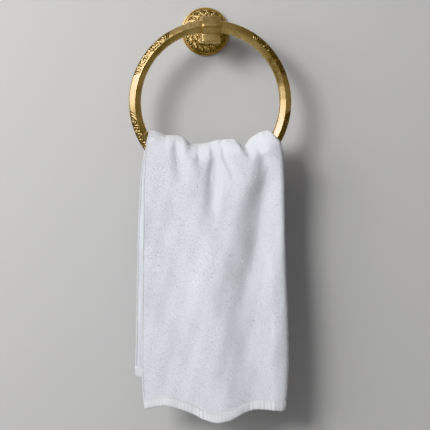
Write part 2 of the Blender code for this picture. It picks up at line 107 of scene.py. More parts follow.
# %% Meshes from grids of points
def grid_faces(rows, columns, round_rows=False, round_columns=False):
    """Four corners for each cell of a grid. Faces look along (column step) x (row step)."""
    number = np.arange(rows * columns).reshape(rows, columns)
    if round_rows:
        number = np.vstack([number, number[:1]])
    if round_columns:
        number = np.hstack([number, number[:, :1]])
    corners = [number[:-1, :-1], number[:-1, 1:], number[1:, 1:], number[1:, :-1]]
    return np.stack(corners, axis=-1).reshape(-1, 4)


def mesh_of(name, points, faces):
    """A smooth-shaded mesh from points in millimetres."""
    mesh = bpy.data.meshes.new(name)
    mesh.from_pydata((np.reshape(points, (-1, 3)) * MM).tolist(), [], np.asarray(faces).tolist())
    mesh.shade_smooth()
    return mesh


def in_scene(name, data):
    """A new object in the scene, with a mesh, a lamp or a camera as its data."""
    thing = bpy.data.objects.new(name, data)
    bpy.context.scene.collection.objects.link(thing)
    return thing


def add_piece(name, mesh, material, stands_for=None):
    """Puts a mesh in the scene as a piece of the towel and its ring."""
    piece = in_scene(name, mesh)
    mesh.materials.clear()
    mesh.materials.append(material)
    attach(piece, "root")
    if stands_for:
        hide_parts(stands_for)
    triangles = sum(len(face.vertices) - 2 for face in mesh.polygons)
    print(f"{name}: {triangles} triangles")
    return piece


def mark(mesh, name, values):
    """Stores one number for each point, which a material can read."""
    attribute = mesh.attributes.new(name, "FLOAT", "POINT")
    attribute.data.foreach_set("value", np.ravel(values).astype(np.float32))


# %% [markdown]
# ## The camera
#
# The camera stands a little to the left of the towel and a little above it, about an arm's span away.
# A long lens keeps the ring round, so the angle of view is narrow.

# %% Camera
CAMERA_TARGET = np.array([4.4, -50.0, -186.6])
CAMERA_DISTANCE = 1241.0
CAMERA_AZIMUTH = math.radians(-6.7)
CAMERA_ELEVATION = math.radians(6.27)
CAMERA_ANGLE = math.radians(20)


def direction(azimuth, elevation):
    """A unit vector. Azimuth 0 points out of the wall, along -Y, and it grows towards +X."""
    flat = math.cos(elevation)
    return np.array([math.sin(azimuth) * flat, -math.cos(azimuth) * flat, math.sin(elevation)])


def aim(thing, place, target):
    """Stands a lamp or a camera at a place and turns it to a target, both in millimetres."""
    thing.location = Vector(place) * MM
    thing.rotation_euler = Vector(target - place).to_track_quat("-Z", "Y").to_euler()


camera = in_scene("camera", bpy.data.cameras.new("camera"))
camera.data.angle = CAMERA_ANGLE
bpy.context.scene.camera = camera
camera_place = CAMERA_TARGET + CAMERA_DISTANCE * direction(CAMERA_AZIMUTH, CAMERA_ELEVATION)
aim(camera, camera_place, CAMERA_TARGET)
print("camera at", [round(v, 3) for v in camera.location])

# %% [markdown]
# ## Aged brass
#
# Old brass is bright where hands and cloth rub it and brown where nobody reaches, above all in carving.
# The finish mixes a polished and a browned colour with soft noise, and darkens what the carving marks
# as deep. A painted picture could do the same, but noise needs no unwrapping and stays sharp close up.

# %% Brass finish
BRASS_POLISHED = (0.66, 0.49, 0.22, 1)
BRASS_BROWNED = (0.46, 0.33, 0.14, 1)
BRASS_DEEP = (0.13, 0.085, 0.03, 1)
LACQUER = 0.6
LACQUER_ROUGHNESS = 0.22
PATCH_SIZE = 14.0
RUB_SIZE = 5.0
DENT_SIZE = 1.6
DENT_DEPTH = 0.08


def shader_nodes(name):
    """A new material with its node tree and its main shader."""
    material = bpy.data.materials.new(name)
    material.use_nodes = True
    tree = material.node_tree
    return material, tree, tree.nodes["Principled BSDF"]


def noise(tree, size, detail=3.0):
    """Noise whose spots are about as wide as a size in millimetres."""
    place = tree.nodes.new("ShaderNodeTexCoord")
    texture = tree.nodes.new("ShaderNodeTexNoise")
    texture.inputs["Scale"].default_value = 1 / (size * MM)
    texture.inputs["Detail"].default_value = detail
    tree.links.new(place.outputs["Object"], texture.inputs["Vector"])
    return texture.outputs["Fac"]


def stretch(tree, value, low, high, to_low=0.0, to_high=1.0):
    """Maps one range of numbers on another, held at its ends."""
    node = tree.nodes.new("ShaderNodeMapRange")
    node.inputs["From Min"].default_value = low
    node.inputs["From Max"].default_value = high
    node.inputs["To Min"].default_value = to_low
    node.inputs["To Max"].default_value = to_high
    tree.links.new(value, node.inputs["Value"])
    return node.outputs["Result"]


def blend_colours(tree, share, first, second):
    """A mix of two colours, each fixed or from another node."""
    node = tree.nodes.new("ShaderNodeMix")
    node.data_type = "RGBA"
    tree.links.new(share, node.inputs["Factor"])
    for socket, colour in ((node.inputs[6], first), (node.inputs[7], second)):
        if isinstance(colour, tuple):
            socket.default_value = colour
        else:
            tree.links.new(colour, socket)
    return node.outputs[2]


def add_bump(tree, shader, height, strength, depth):
    """Fine relief of a depth in millimetres."""
    node = tree.nodes.new("ShaderNodeBump")
    node.inputs["Strength"].default_value = strength
    node.inputs["Distance"].default_value = depth * MM
    tree.links.new(height, node.inputs["Height"])
    tree.links.new(node.outputs["Normal"], shader.inputs["Normal"])


def marked(tree, name):
    """Reads the numbers that mark() stored on the mesh."""
    node = tree.nodes.new("ShaderNodeAttribute")
    node.attribute_name = name
    return node.outputs["Fac"]


def brass_finish(name, smooth, rough):
    """Brass whose roughness wanders between two values, dark wherever the mesh is marked as deep."""
    material, tree, shader = shader_nodes(name)
    shader.inputs["Metallic"].default_value = 1.0
    shader.inputs["Coat Weight"].default_value = LACQUER
    shader.inputs["Coat Roughness"].default_value = LACQUER_ROUGHNESS
    patches = stretch(tree, noise(tree, PATCH_SIZE), 0.42, 0.68)
    worn = blend_colours(tree, patches, BRASS_POLISHED, BRASS_BROWNED)
    deep = marked(tree, "deep")
    tree.links.new(blend_colours(tree, deep, worn, BRASS_DEEP), shader.inputs["Base Color"])
    rubbed = stretch(tree, noise(tree, RUB_SIZE), 0.35, 0.65, smooth, rough)
    tree.links.new(rubbed, shader.inputs["Roughness"])
    add_bump(tree, shader, noise(tree, DENT_SIZE), 0.25, DENT_DEPTH)
    return material


ring_brass = brass_finish("ring brass", 0.22, 0.33)
rosette_brass = brass_finish("rosette brass", 0.36, 0.50)
knuckle_brass = brass_finish("knuckle brass", 0.26, 0.38)
post_brass = brass_finish("post brass", 0.26, 0.40)
finishes = (ring_brass, rosette_brass, knuckle_brass, post_brass)
print("brass finishes:", ", ".join(finish.name for finish in finishes))

# %% [markdown]
# ## Engraving
#
# The ring's outer face and the rosette carry the scrolls and leaves that brass founders have used for
# centuries. A chaser sinks the ground and leaves each leaf standing, rounded, with a vein down its
# middle. A height for every point does the same: each leaf is a curved spine with a width, and the
# height falls away with the distance from it. That gives true relief, which bump alone would not.


# %% Leaves, stems and scrolls as heights
TIP_CUT = 0.04
VEIN_WIDTH = 0.22


def spine_points(points, count=9):
    """Points spread evenly along a smooth line through a few points."""
    points = np.asarray(points, dtype=float)
    knots = np.arange(len(points), dtype=float)
    at = np.linspace(0, len(points) - 1, count)
    return np.column_stack([smooth_curve(knots, column, at) for column in points.T])


def spiral(centre, start_radius, end_radius, start, turn, count=15):
    """Points of a scroll that winds in towards its eye. Angles are in degrees."""
    share = np.linspace(0, 1, count)
    radius = start_radius + (end_radius - start_radius) * share**0.8
    angle = np.radians(start + turn * share)
    return np.column_stack([centre[0] + radius * np.cos(angle), centre[1] + radius * np.sin(angle)])


def raise_leaf(height, x, y, spine, half_width, vein=0.35, stem=False):
    """Raises the height under a leaf, or under an even stem, that follows a spine."""
    best = np.full(np.shape(x), np.inf)
    along = np.zeros(np.shape(x))
    segments = len(spine) - 1
    for i in range(segments):
        (ax, ay), (bx, by) = spine[i], spine[i + 1]
        length = (bx - ax) ** 2 + (by - ay) ** 2
        t = np.clip(((x - ax) * (bx - ax) + (y - ay) * (by - ay)) / length, 0, 1)
        away = np.hypot(x - ax - t * (bx - ax), y - ay - t * (by - ay))
        nearer = away < best
        best = np.where(nearer, away, best)
        along = np.where(nearer, (i + t) / segments, along)
    pointed = np.sin(np.pi * (TIP_CUT + (1 - 2 * TIP_CUT) * along)) ** 0.7
    width = half_width * (1.0 if stem else pointed)
    across = best / width
    dome = np.sqrt(np.clip(1 - across**2, 0, 1))
    groove = 0.0 if stem else vein * np.exp(-((across / VEIN_WIDTH) ** 2))
    np.maximum(height, dome * (1 - groove), out=height)


def raise_bead(height, x, y, centre, radius):
    """Raises a round bead, such as the eye of a scroll."""
    away = np.hypot(x - centre[0], y - centre[1]) / radius
    np.maximum(height, np.sqrt(np.clip(1 - away**2, 0, 1)), out=height)


# %% [markdown]
# ## The ring
#
# The bar is a lozenge: two gently crowned faces meet in a soft ridge at the front, and two at the back.
# Plain stretches are polished, and engraved panels fill only the outer face, with slanted ends. The
# section is carried round the hoop, in small steps through the panels and in long ones between them.

# %% Sizes of the ring
RING_Y = -50.0
RING_RADIUS = 76.2
RING_CENTRE_Z = -72.6
BAR_HALF_WIDTH = 6.0
BarRow = namedtuple("BarRow", "out depth")
BAR_FACE = (
    BarRow(out=0.0, depth=5.50),
    BarRow(out=0.4, depth=5.42),
    BarRow(out=0.9, depth=5.20),
    BarRow(out=2.0, depth=4.69),
    BarRow(out=3.2, depth=4.10),
    BarRow(out=4.4, depth=3.44),
    BarRow(out=5.1, depth=2.98),
    BarRow(out=5.6, depth=2.45),
    BarRow(out=5.9, depth=1.85),
    BarRow(out=6.0, depth=1.20),
)
BAR_SIDE = (0.7, 0.0, -0.7)
SIDE_SWELL = 0.04
ENGRAVED_STEPS = 22
PLAIN_STEPS = 12
FACE_RADIUS = RING_RADIUS + BAR_HALF_WIDTH / 2
PANEL_MIDDLES = (50.5, 116.0, 180.0, 244.0, 309.5)
PANEL_HALF_ANGLE = 21.0
PANEL_SLANT = 6.0
PANEL_DEPTH = 0.65
PANEL_STEP = 0.36
PLAIN_ANGLE = 1.0


def face_depth(out):
    """Depth of the bar's face at a distance out from its middle."""
    return read_table(BAR_FACE, "out", "depth", np.abs(out))


def bar_section():
    """Points (out, depth) round the bar's section, and each one's distance from the front ridge."""
    engraved = np.linspace(BAR_HALF_WIDTH, 0, ENGRAVED_STEPS)
    plain = np.linspace(0, BAR_HALF_WIDTH, PLAIN_STEPS)[1:]
    ridge = BAR_FACE[0].depth
    side = np.array(BAR_SIDE)
    side_out = np.full(len(side), BAR_HALF_WIDTH + SIDE_SWELL)
    out = np.concatenate([engraved, -plain, -side_out, -plain[::-1], [0.0], plain, side_out])
    front = np.concatenate([face_depth(engraved), face_depth(plain)])
    back = np.concatenate([face_depth(plain[::-1]), [ridge], face_depth(plain)])
    depth = np.concatenate([front, side, -back, side[::-1]])
    from_ridge = np.full(len(out), -1.0)
    from_ridge[: len(engraved)] = np.hypot(engraved, ridge - face_depth(engraved))
    return out, depth, from_ridge


def hoop_points(angle, out, depth):
    """Places of the bar's section carried to each angle of the hoop."""
    radius = RING_RADIUS + out
    return np.stack([radius * np.sin(angle), RING_Y - depth, RING_CENTRE_Z + radius * np.cos(angle)], -1)


def hoop_angles():
    """Angles from the top of the ring, close together wherever the bar is engraved."""
    angles = []
    angle = 0.0
    dense = math.degrees(PANEL_STEP / FACE_RADIUS)
    while angle < 360 - dense / 2:
        angles.append(angle)
        near_panel = min(abs(angle - middle) for middle in PANEL_MIDDLES) < PANEL_HALF_ANGLE + 1
        angle += dense if near_panel else PLAIN_ANGLE
    return np.radians(angles)


# %% Running scroll for one panel
SCROLL_UNIT = 9.4
SCROLL_EYE = (0.2, 0.5)
FACE_WIDTH = 7.2
FACE_MIDDLE = 3.75
PANEL_EDGE = 0.5
RIDGE_LAND = 0.75
RIM_LAND = 0.35
LAND_EDGE = 0.4
TIP_LENGTH = 4.6


def running_scroll(along, across):
    """Raised pattern, 0 to 1: a winding stem, with a scroll and two leaves in each bay."""
    bay = np.round(along / SCROLL_UNIT)
    side = np.where(bay % 2 == 0, 1.0, -1.0)
    x = along - bay * SCROLL_UNIT
    y = (across - FACE_MIDDLE) * side
    height = np.zeros(np.shape(x))
    stem = spine_points([(-4.9, 0.0), (-3.0, -1.9), (0.0, -2.5), (3.0, -1.9), (4.9, 0.0)])
    raise_leaf(height, x, y, stem, 0.62, stem=True)
    raise_leaf(height, x, y, spiral(SCROLL_EYE, 2.3, 0.9, 230, 330), 0.6, stem=True)
    raise_bead(height, x, y, SCROLL_EYE, 0.62)
    raise_leaf(height, x, y, spine_points([(2.6, -1.5), (3.3, 0.4), (3.1, 2.5)]), 1.05)
    raise_leaf(height, x, y, spine_points([(-2.9, -1.2), (-3.1, 0.7), (-2.3, 2.6)]), 0.95)
    return height


def panel_relief(angle, from_ridge):
    """(raised pattern, share of sunk ground) for every point of the ring's section and angle."""
    degrees = np.degrees(angle)
    middles = np.array(PANEL_MIDDLES)
    nearest = middles[np.argmin(np.abs(degrees[..., None] - middles), axis=-1)]
    along = np.radians(degrees - nearest) * FACE_RADIUS
    along = np.where(nearest > 180, -along, along)
    half = math.radians(PANEL_HALF_ANGLE) * FACE_RADIUS
    to_edge = half - PANEL_SLANT * (1 - from_ridge / FACE_WIDTH) - np.abs(along)
    past_ridge = ease((from_ridge - RIDGE_LAND) / LAND_EDGE)
    before_rim = ease((FACE_WIDTH - RIM_LAND - from_ridge) / LAND_EDGE)
    inside = ease(to_edge / PANEL_EDGE) * past_ridge * before_rim
    height = running_scroll(along, from_ridge)
    # Near its slanted ends the panel holds two leaves that lie along the slant.
    in_tip = to_edge < TIP_LENGTH
    tip = np.zeros(np.shape(along))
    long_leaf = spine_points([(1.9, 0.6), (1.7, 3.4), (2.3, 6.9)])
    short_leaf = spine_points([(3.6, 0.9), (4.0, 3.2), (4.4, 5.4)])
    raise_leaf(tip, to_edge, from_ridge, long_leaf, 1.0, vein=0.2)
    raise_leaf(tip, to_edge, from_ridge, short_leaf, 0.6, vein=0.0)
    height = np.where(in_tip, tip, height)
    return height, inside * (from_ridge >= 0)


# %% Build the ring
LEAN_OUT = 0.52
LEAN_FRONT = 0.85


def build_ring():
    """Carries the section round the hoop and sinks the ground of the panels."""
    out, depth, from_ridge = bar_section()
    angle, out_grid = np.meshgrid(hoop_angles(), out, indexing="ij")
    depth_grid = np.broadcast_to(depth, angle.shape)
    ridge_grid = np.broadcast_to(from_ridge, angle.shape)
    raised, inside = panel_relief(angle, ridge_grid)
    sunk = inside * (1 - raised)
    # The face leans back from the ridge, so the ground sinks along the face's own slope.
    out_grid = out_grid - PANEL_DEPTH * sunk * LEAN_OUT
    depth_grid = depth_grid - PANEL_DEPTH * sunk * LEAN_FRONT
    faces = grid_faces(*angle.shape, round_rows=True, round_columns=True)
    mesh = mesh_of("engraved_ring", hoop_points(angle, out_grid, depth_grid), faces)
    mark(mesh, "deep", np.clip(0.4 * inside + 1.0 * sunk, 0, 1))
    add_piece("engraved_ring", mesh, ring_brass, "towel_ring")


build_ring()

# %% [markdown]
# ## The rosette
#
# The wall plate is a cast dome inside a thin plain rim. Its ornament repeats round the centre in two
# bands, so one cell is drawn and every point is turned into it. That is simpler than copying leaves.

# %% Sizes of the rosette
ROSETTE_RADIUS = 24.8
RIM_DEPTH = 2.6
RIM_WIDTH = 1.5
GROOVE_DEPTH = 0.6
DOME_DEPTH = 9.5
SEAT_RADIUS = 9.6
SEAT_LAND = 0.2
SEAT_EDGE = 0.6
GROOVE_LAND = 0.5
RIM_RISE = 0.75
STEEPEST_LEAN = 0.8
DOME_STEPS = 70
RIM_STEPS = 9
ROSETTE_TURNS = 440
ROSETTE_RELIEF = 0.75
CELL_EYE = (-1.5, 0.4)
OrnamentBand = namedtuple("OrnamentBand", "middle count turned")
ORNAMENT_BANDS = (
    OrnamentBand(middle=12.6, count=12, turned=0.0),
    OrnamentBand(middle=18.9, count=17, turned=0.1),
)
LEAF_ROWS = (
    ((0.1, -3.1), (0.9, -0.5), (0.5, 3.2)),
    ((1.1, -2.9), (2.1, -0.6), (2.3, 2.2)),
    ((2.1, -3.0), (3.1, -1.5), (3.5, 0.6)),
    ((-3.5, -1.2), (-2.4, -2.7), (-0.7, -3.1)),
    ((-3.5, 3.0), (-1.8, 3.2), (-0.2, 2.6)),
    ((2.9, 2.2), (3.4, 2.9), (3.9, 3.2)),
)


def rosette_ornament(x, z):
    """Raised pattern, 0 to 1: two bands of cells, each with a scroll, its eye and a few leaves."""
    turn = np.arctan2(x, z)
    radius = np.hypot(x, z)
    height = np.zeros(np.shape(x))
    for band in ORNAMENT_BANDS:
        sector = 2 * math.pi / band.count
        local = turn - band.turned
        across = radius * (local - sector * np.round(local / sector))
        up = radius - band.middle
        raise_leaf(height, across, up, spiral(CELL_EYE, 1.9, 0.7, 250, 400), 0.46, stem=True)
        raise_bead(height, across, up, CELL_EYE, 0.55)
        for leaf in LEAF_ROWS:
            raise_leaf(height, across, up, spine_points(leaf), 0.6, vein=0.0)
    return height


# %% Build the rosette
def rosette_profile():
    """(radius, height, share of ornament) from the middle of the front to the back."""
    groove_radius = ROSETTE_RADIUS - RIM_WIDTH
    groove_height = RIM_DEPTH - GROOVE_DEPTH
    drop = DOME_DEPTH - groove_height
    rows = [(0.0, DOME_DEPTH, 0.0), (4.5, DOME_DEPTH, 0.0), (9.0, DOME_DEPTH, 0.0)]
    for angle in np.radians(np.linspace(0, 90, DOME_STEPS)):
        radius = SEAT_RADIUS + (groove_radius - SEAT_RADIUS) * math.sin(angle)
        past_seat = float(ease((radius - SEAT_RADIUS - SEAT_LAND) / SEAT_EDGE))
        before_groove = float(ease((groove_radius - GROOVE_LAND - radius) / GROOVE_LAND))
        rows.append((radius, groove_height + drop * math.cos(angle), past_seat * before_groove))
    middle = groove_radius + RIM_WIDTH / 2
    for angle in np.radians(np.linspace(180, 0, RIM_STEPS)):
        rise = groove_height + RIM_RISE * math.sin(angle)
        rows.append((middle + RIM_WIDTH / 2 * math.cos(angle), rise, 0.0))
    rows += [(ROSETTE_RADIUS, 1.0, 0.0), (ROSETTE_RADIUS - 0.3, 0.0, 0.0), (0.0, 0.0, 0.0)]
    return np.array(rows)


def build_rosette():
    """Turns the profile round the plate's middle, with the ground between the leaves sunk."""
    rows = rosette_profile()
    turns = np.linspace(0, 2 * math.pi, ROSETTE_TURNS, endpoint=False)
    radius, turn = np.meshgrid(rows[:, 0], turns, indexing="ij")
    height, share = rows[:, 1:2], rows[:, 2:3]
    raised = rosette_ornament(radius * np.sin(turn), radius * np.cos(turn))
    sunk = share * (1 - raised)
    lean = ease((radius - SEAT_RADIUS) / (ROSETTE_RADIUS - SEAT_RADIUS)) * STEEPEST_LEAN
    moved_radius = radius - ROSETTE_RELIEF * sunk * lean
    moved_height = height - ROSETTE_RELIEF * sunk * np.sqrt(1 - lean**2)
    points = np.stack([moved_radius * np.sin(turn), -moved_height, moved_radius * np.cos(turn)], -1)
    mesh = mesh_of("engraved_rosette", points, grid_faces(*radius.shape, round_columns=True))
    mark(mesh, "deep", np.clip(1.3 * sunk, 0, 1) ** 1.3)
    add_piece("engraved_rosette", mesh, rosette_brass, "wall_rosette")


build_rosette()

# %% [markdown]
# ## The post
#
# Between rosette and knuckle stands a short turned neck. A turner would cut it from bar in one go, so a
# profile spun round an axis is the natural way to draw it: a collar, two coves and a bead.

# %% Post
POST_STEPS = 70
POST_TURNS = 72
PostRow = namedtuple("PostRow", "height radius")
POST_ROWS = (
    PostRow(height=9.8, radius=8.6),
    PostRow(height=10.4, radius=9.0),
    PostRow(height=11.9, radius=9.0),
    PostRow(height=12.4, radius=8.3),
    PostRow(height=13.6, radius=7.2),
    PostRow(height=16.0, radius=6.5),
    PostRow(height=20.0, radius=6.35),
    PostRow(height=22.0, radius=6.5),
    PostRow(height=22.8, radius=7.3),
    PostRow(height=23.8, radius=7.6),
    PostRow(height=24.8, radius=7.3),
    PostRow(height=25.6, radius=6.5),
    PostRow(height=28.0, radius=6.35),
    PostRow(height=32.0, radius=6.6),
    PostRow(height=34.4, radius=7.4),
    PostRow(height=35.2, radius=8.4),
    PostRow(height=37.7, radius=8.4),
)


def build_post():
    """Spins the profile round the axis that runs out of the wall."""
    base, head = POST_ROWS[0].height, POST_ROWS[-1].height
    heights = np.linspace(base, head, POST_STEPS)
    radii = read_table(POST_ROWS, "height", "radius", heights)
    heights = np.concatenate([[base], heights, [head]])
    radii = np.concatenate([[0.0], radii, [0.0]])
    turns = np.linspace(0, 2 * math.pi, POST_TURNS, endpoint=False)
    height, turn = np.meshgrid(heights, turns, indexing="ij")
    radius = np.broadcast_to(radii[:, None], height.shape)
    points = np.stack([radius * np.cos(turn), -height, radius * np.sin(turn)], -1)
    mesh = mesh_of("turned_post", points, grid_faces(*height.shape, round_columns=True))
    mesh.flip_normals()
    add_piece("turned_post", mesh, post_brass, "ring_post")


build_post()

# %% [markdown]
# ## The knuckle
#
# The block that the ring passes through has flat ends and a moulded front: a sloped top, a round nose,
# a crease and a sloped lip. Its side outline is filled, given its width and softened with a bevel, and
# a slightly fatter hoop cuts the hole. A Boolean is exact here, and both meshes are closed.

# %% Side outline of the knuckle
KNUCKLE_WIDTH = 18.5
KNUCKLE_BACK = -38.0
KNUCKLE_NOSE = -60.5
KNUCKLE_TOP = 13.5
KNUCKLE_BOTTOM = -13.6
KNUCKLE_SLOPE = 6.2
KNUCKLE_BEVEL = 0.9
NOSE_RADIUS = 5.0
NOSE_Z = 3.4
NOSE_ANGLES = (144, 222)
CREASE_IN = 3.6
CREASE_Z = -5.0
LIP_IN = 0.4
LIP_HEIGHT = 1.8
FOOT_IN = 2.2
BORE_GAP = 0.3
BORE_STEP = 2.0


def knuckle_outline():
    """(y, z) pairs round the side, from the bottom of the back."""
    nose = [
        (KNUCKLE_NOSE + NOSE_RADIUS * (1 + math.cos(angle)), NOSE_Z + NOSE_RADIUS * math.sin(angle))
        for angle in np.radians(np.linspace(*NOSE_ANGLES, 14))
    ]
    back = [
        (KNUCKLE_BACK, KNUCKLE_BOTTOM),
        (KNUCKLE_BACK, KNUCKLE_TOP),
        (KNUCKLE_NOSE + KNUCKLE_SLOPE, KNUCKLE_TOP),
    ]
    lip = [
        (KNUCKLE_NOSE + CREASE_IN, CREASE_Z),
        (KNUCKLE_NOSE + LIP_IN, KNUCKLE_BOTTOM + LIP_HEIGHT),
        (KNUCKLE_NOSE + FOOT_IN, KNUCKLE_BOTTOM),
    ]
    return back + nose + lip


def bore_cutter():
    """A hoop a little fatter than the bar."""
    out, depth, _ = bar_section()
    grow = 1 + BORE_GAP / BAR_HALF_WIDTH
    angles = np.radians(np.arange(0, 360, BORE_STEP))
    angle, out_grid = np.meshgrid(angles, out * grow, indexing="ij")
    points = hoop_points(angle, out_grid, np.broadcast_to(depth * grow, angle.shape))
    faces = grid_faces(*angle.shape, round_rows=True, round_columns=True)
    return in_scene("bore", mesh_of("bore", points, faces))


# %% Build the knuckle
def build_knuckle():
    """The outline at both ends, joined by its sides, bevelled and bored."""
    outline = np.array(knuckle_outline())
    count = len(outline)
    half = KNUCKLE_WIDTH / 2
    ends = [np.column_stack([np.full(count, x), outline]) for x in (-half, half)]
    sides = [(i, (i + 1) % count, (i + 1) % count + count, i + count) for i in range(count)]
    caps = [tuple(range(count))[::-1], tuple(range(count, 2 * count))]
    mesh = bpy.data.meshes.new("ring_block")
    mesh.from_pydata((np.vstack(ends) * MM).tolist(), [], sides + caps)
    block = in_scene("ring_block", mesh)
    bevel = block.modifiers.new("Soft edges", "BEVEL")
    bevel.width = KNUCKLE_BEVEL * MM
    bevel.segments = 4
    bevel.limit_method = "ANGLE"
    bevel.angle_limit = math.radians(32)
    bore = block.modifiers.new("Bore", "BOOLEAN")
    bore.operation = "DIFFERENCE"
    bore.object = bore_cutter()
    bpy.context.view_layer.update()
    finished = block.evaluated_get(bpy.context.evaluated_depsgraph_get())
    shaped = bpy.data.meshes.new_from_object(finished)
    bpy.data.objects.remove(bore.object)
    bpy.data.objects.remove(block)
    shaped.name = "ring_block"
    shaped.shade_smooth()
    shaped.set_sharp_from_angle(angle=math.radians(35))
    add_piece("ring_block", shaped, knuckle_brass, "ring_knuckle")


build_knuckle()

# %% [markdown]
# ## How the towel hangs
#
# The towel is one cloth. It is folded lengthwise, so each drop has an outer and an inner layer that
# meet in a round fold on the right, and it runs up the front, over the ring and down the back. The
# tables below give its outlines and folds, a row for each height or each place across. Blender could
# drape a sheet by simulation, but these folds have to lie exactly where the real ones do.

# %% Tables of the drape
EdgeRow = namedtuple("EdgeRow", "z left right roll")
LineRow = namedtuple("LineRow", "x z")
FoldRow = namedtuple("FoldRow", "z x rise left right")
Drop = namedtuple("Drop", "edges hem folds y outward")

FRONT_EDGES = (
    EdgeRow(z=-101, left=-61.5, right=61.5, roll=2.6),
    EdgeRow(z=-110, left=-64.5, right=66.0, roll=2.8),
    EdgeRow(z=-121, left=-67.3, right=70.5, roll=3.4),
    EdgeRow(z=-150, left=-69.0, right=73.0, roll=5.0),
    EdgeRow(z=-253, left=-71.0, right=76.0, roll=6.0),
    EdgeRow(z=-295, left=-71.5, right=78.0, roll=6.5),
    EdgeRow(z=-340, left=-72.0, right=78.8, roll=6.5),
    EdgeRow(z=-379, left=-70.0, right=76.5, roll=5.0),
    EdgeRow(z=-398, left=-68.0, right=72.5, roll=4.0),
)
BACK_EDGES = (
    EdgeRow(z=-101, left=-61.5, right=59.5, roll=3.0),
    EdgeRow(z=-121, left=-66.5, right=62.5, roll=3.0),
    EdgeRow(z=-151, left=-70.5, right=69.0, roll=4.0),
    EdgeRow(z=-223, left=-74.0, right=73.0, roll=6.0),
    EdgeRow(z=-337, left=-77.0, right=75.0, roll=6.0),
    EdgeRow(z=-366, left=-78.5, right=75.5, roll=5.0),
)
TOP_LINE = (
    LineRow(x=-62, z=-99.5),
    LineRow(x=-54, z=-102),
    LineRow(x=-44, z=-105.5),
    LineRow(x=-36, z=-105.5),
    LineRow(x=-28, z=-107.5),
    LineRow(x=-20, z=-114.5),
    LineRow(x=-8, z=-114),
    LineRow(x=2, z=-112),
    LineRow(x=8, z=-110.5),
    LineRow(x=23, z=-109.5),
    LineRow(x=33, z=-117),
    LineRow(x=43, z=-107.5),
    LineRow(x=53, z=-102),
    LineRow(x=64, z=-100),
)
FRONT_HEM = (
    LineRow(x=-69, z=-382),
    LineRow(x=-49, z=-379),
    LineRow(x=-36, z=-382),
    LineRow(x=-21, z=-388),
    LineRow(x=-8, z=-394.5),
    LineRow(x=6, z=-398),
    LineRow(x=17, z=-396.5),
    LineRow(x=34, z=-389),
    LineRow(x=47, z=-386),
    LineRow(x=73, z=-389),
)
BACK_HEM = (
    LineRow(x=-78, z=-354.5),
    LineRow(x=-40, z=-358),
    LineRow(x=0, z=-366),
    LineRow(x=40, z=-360),
    LineRow(x=75, z=-355),
)

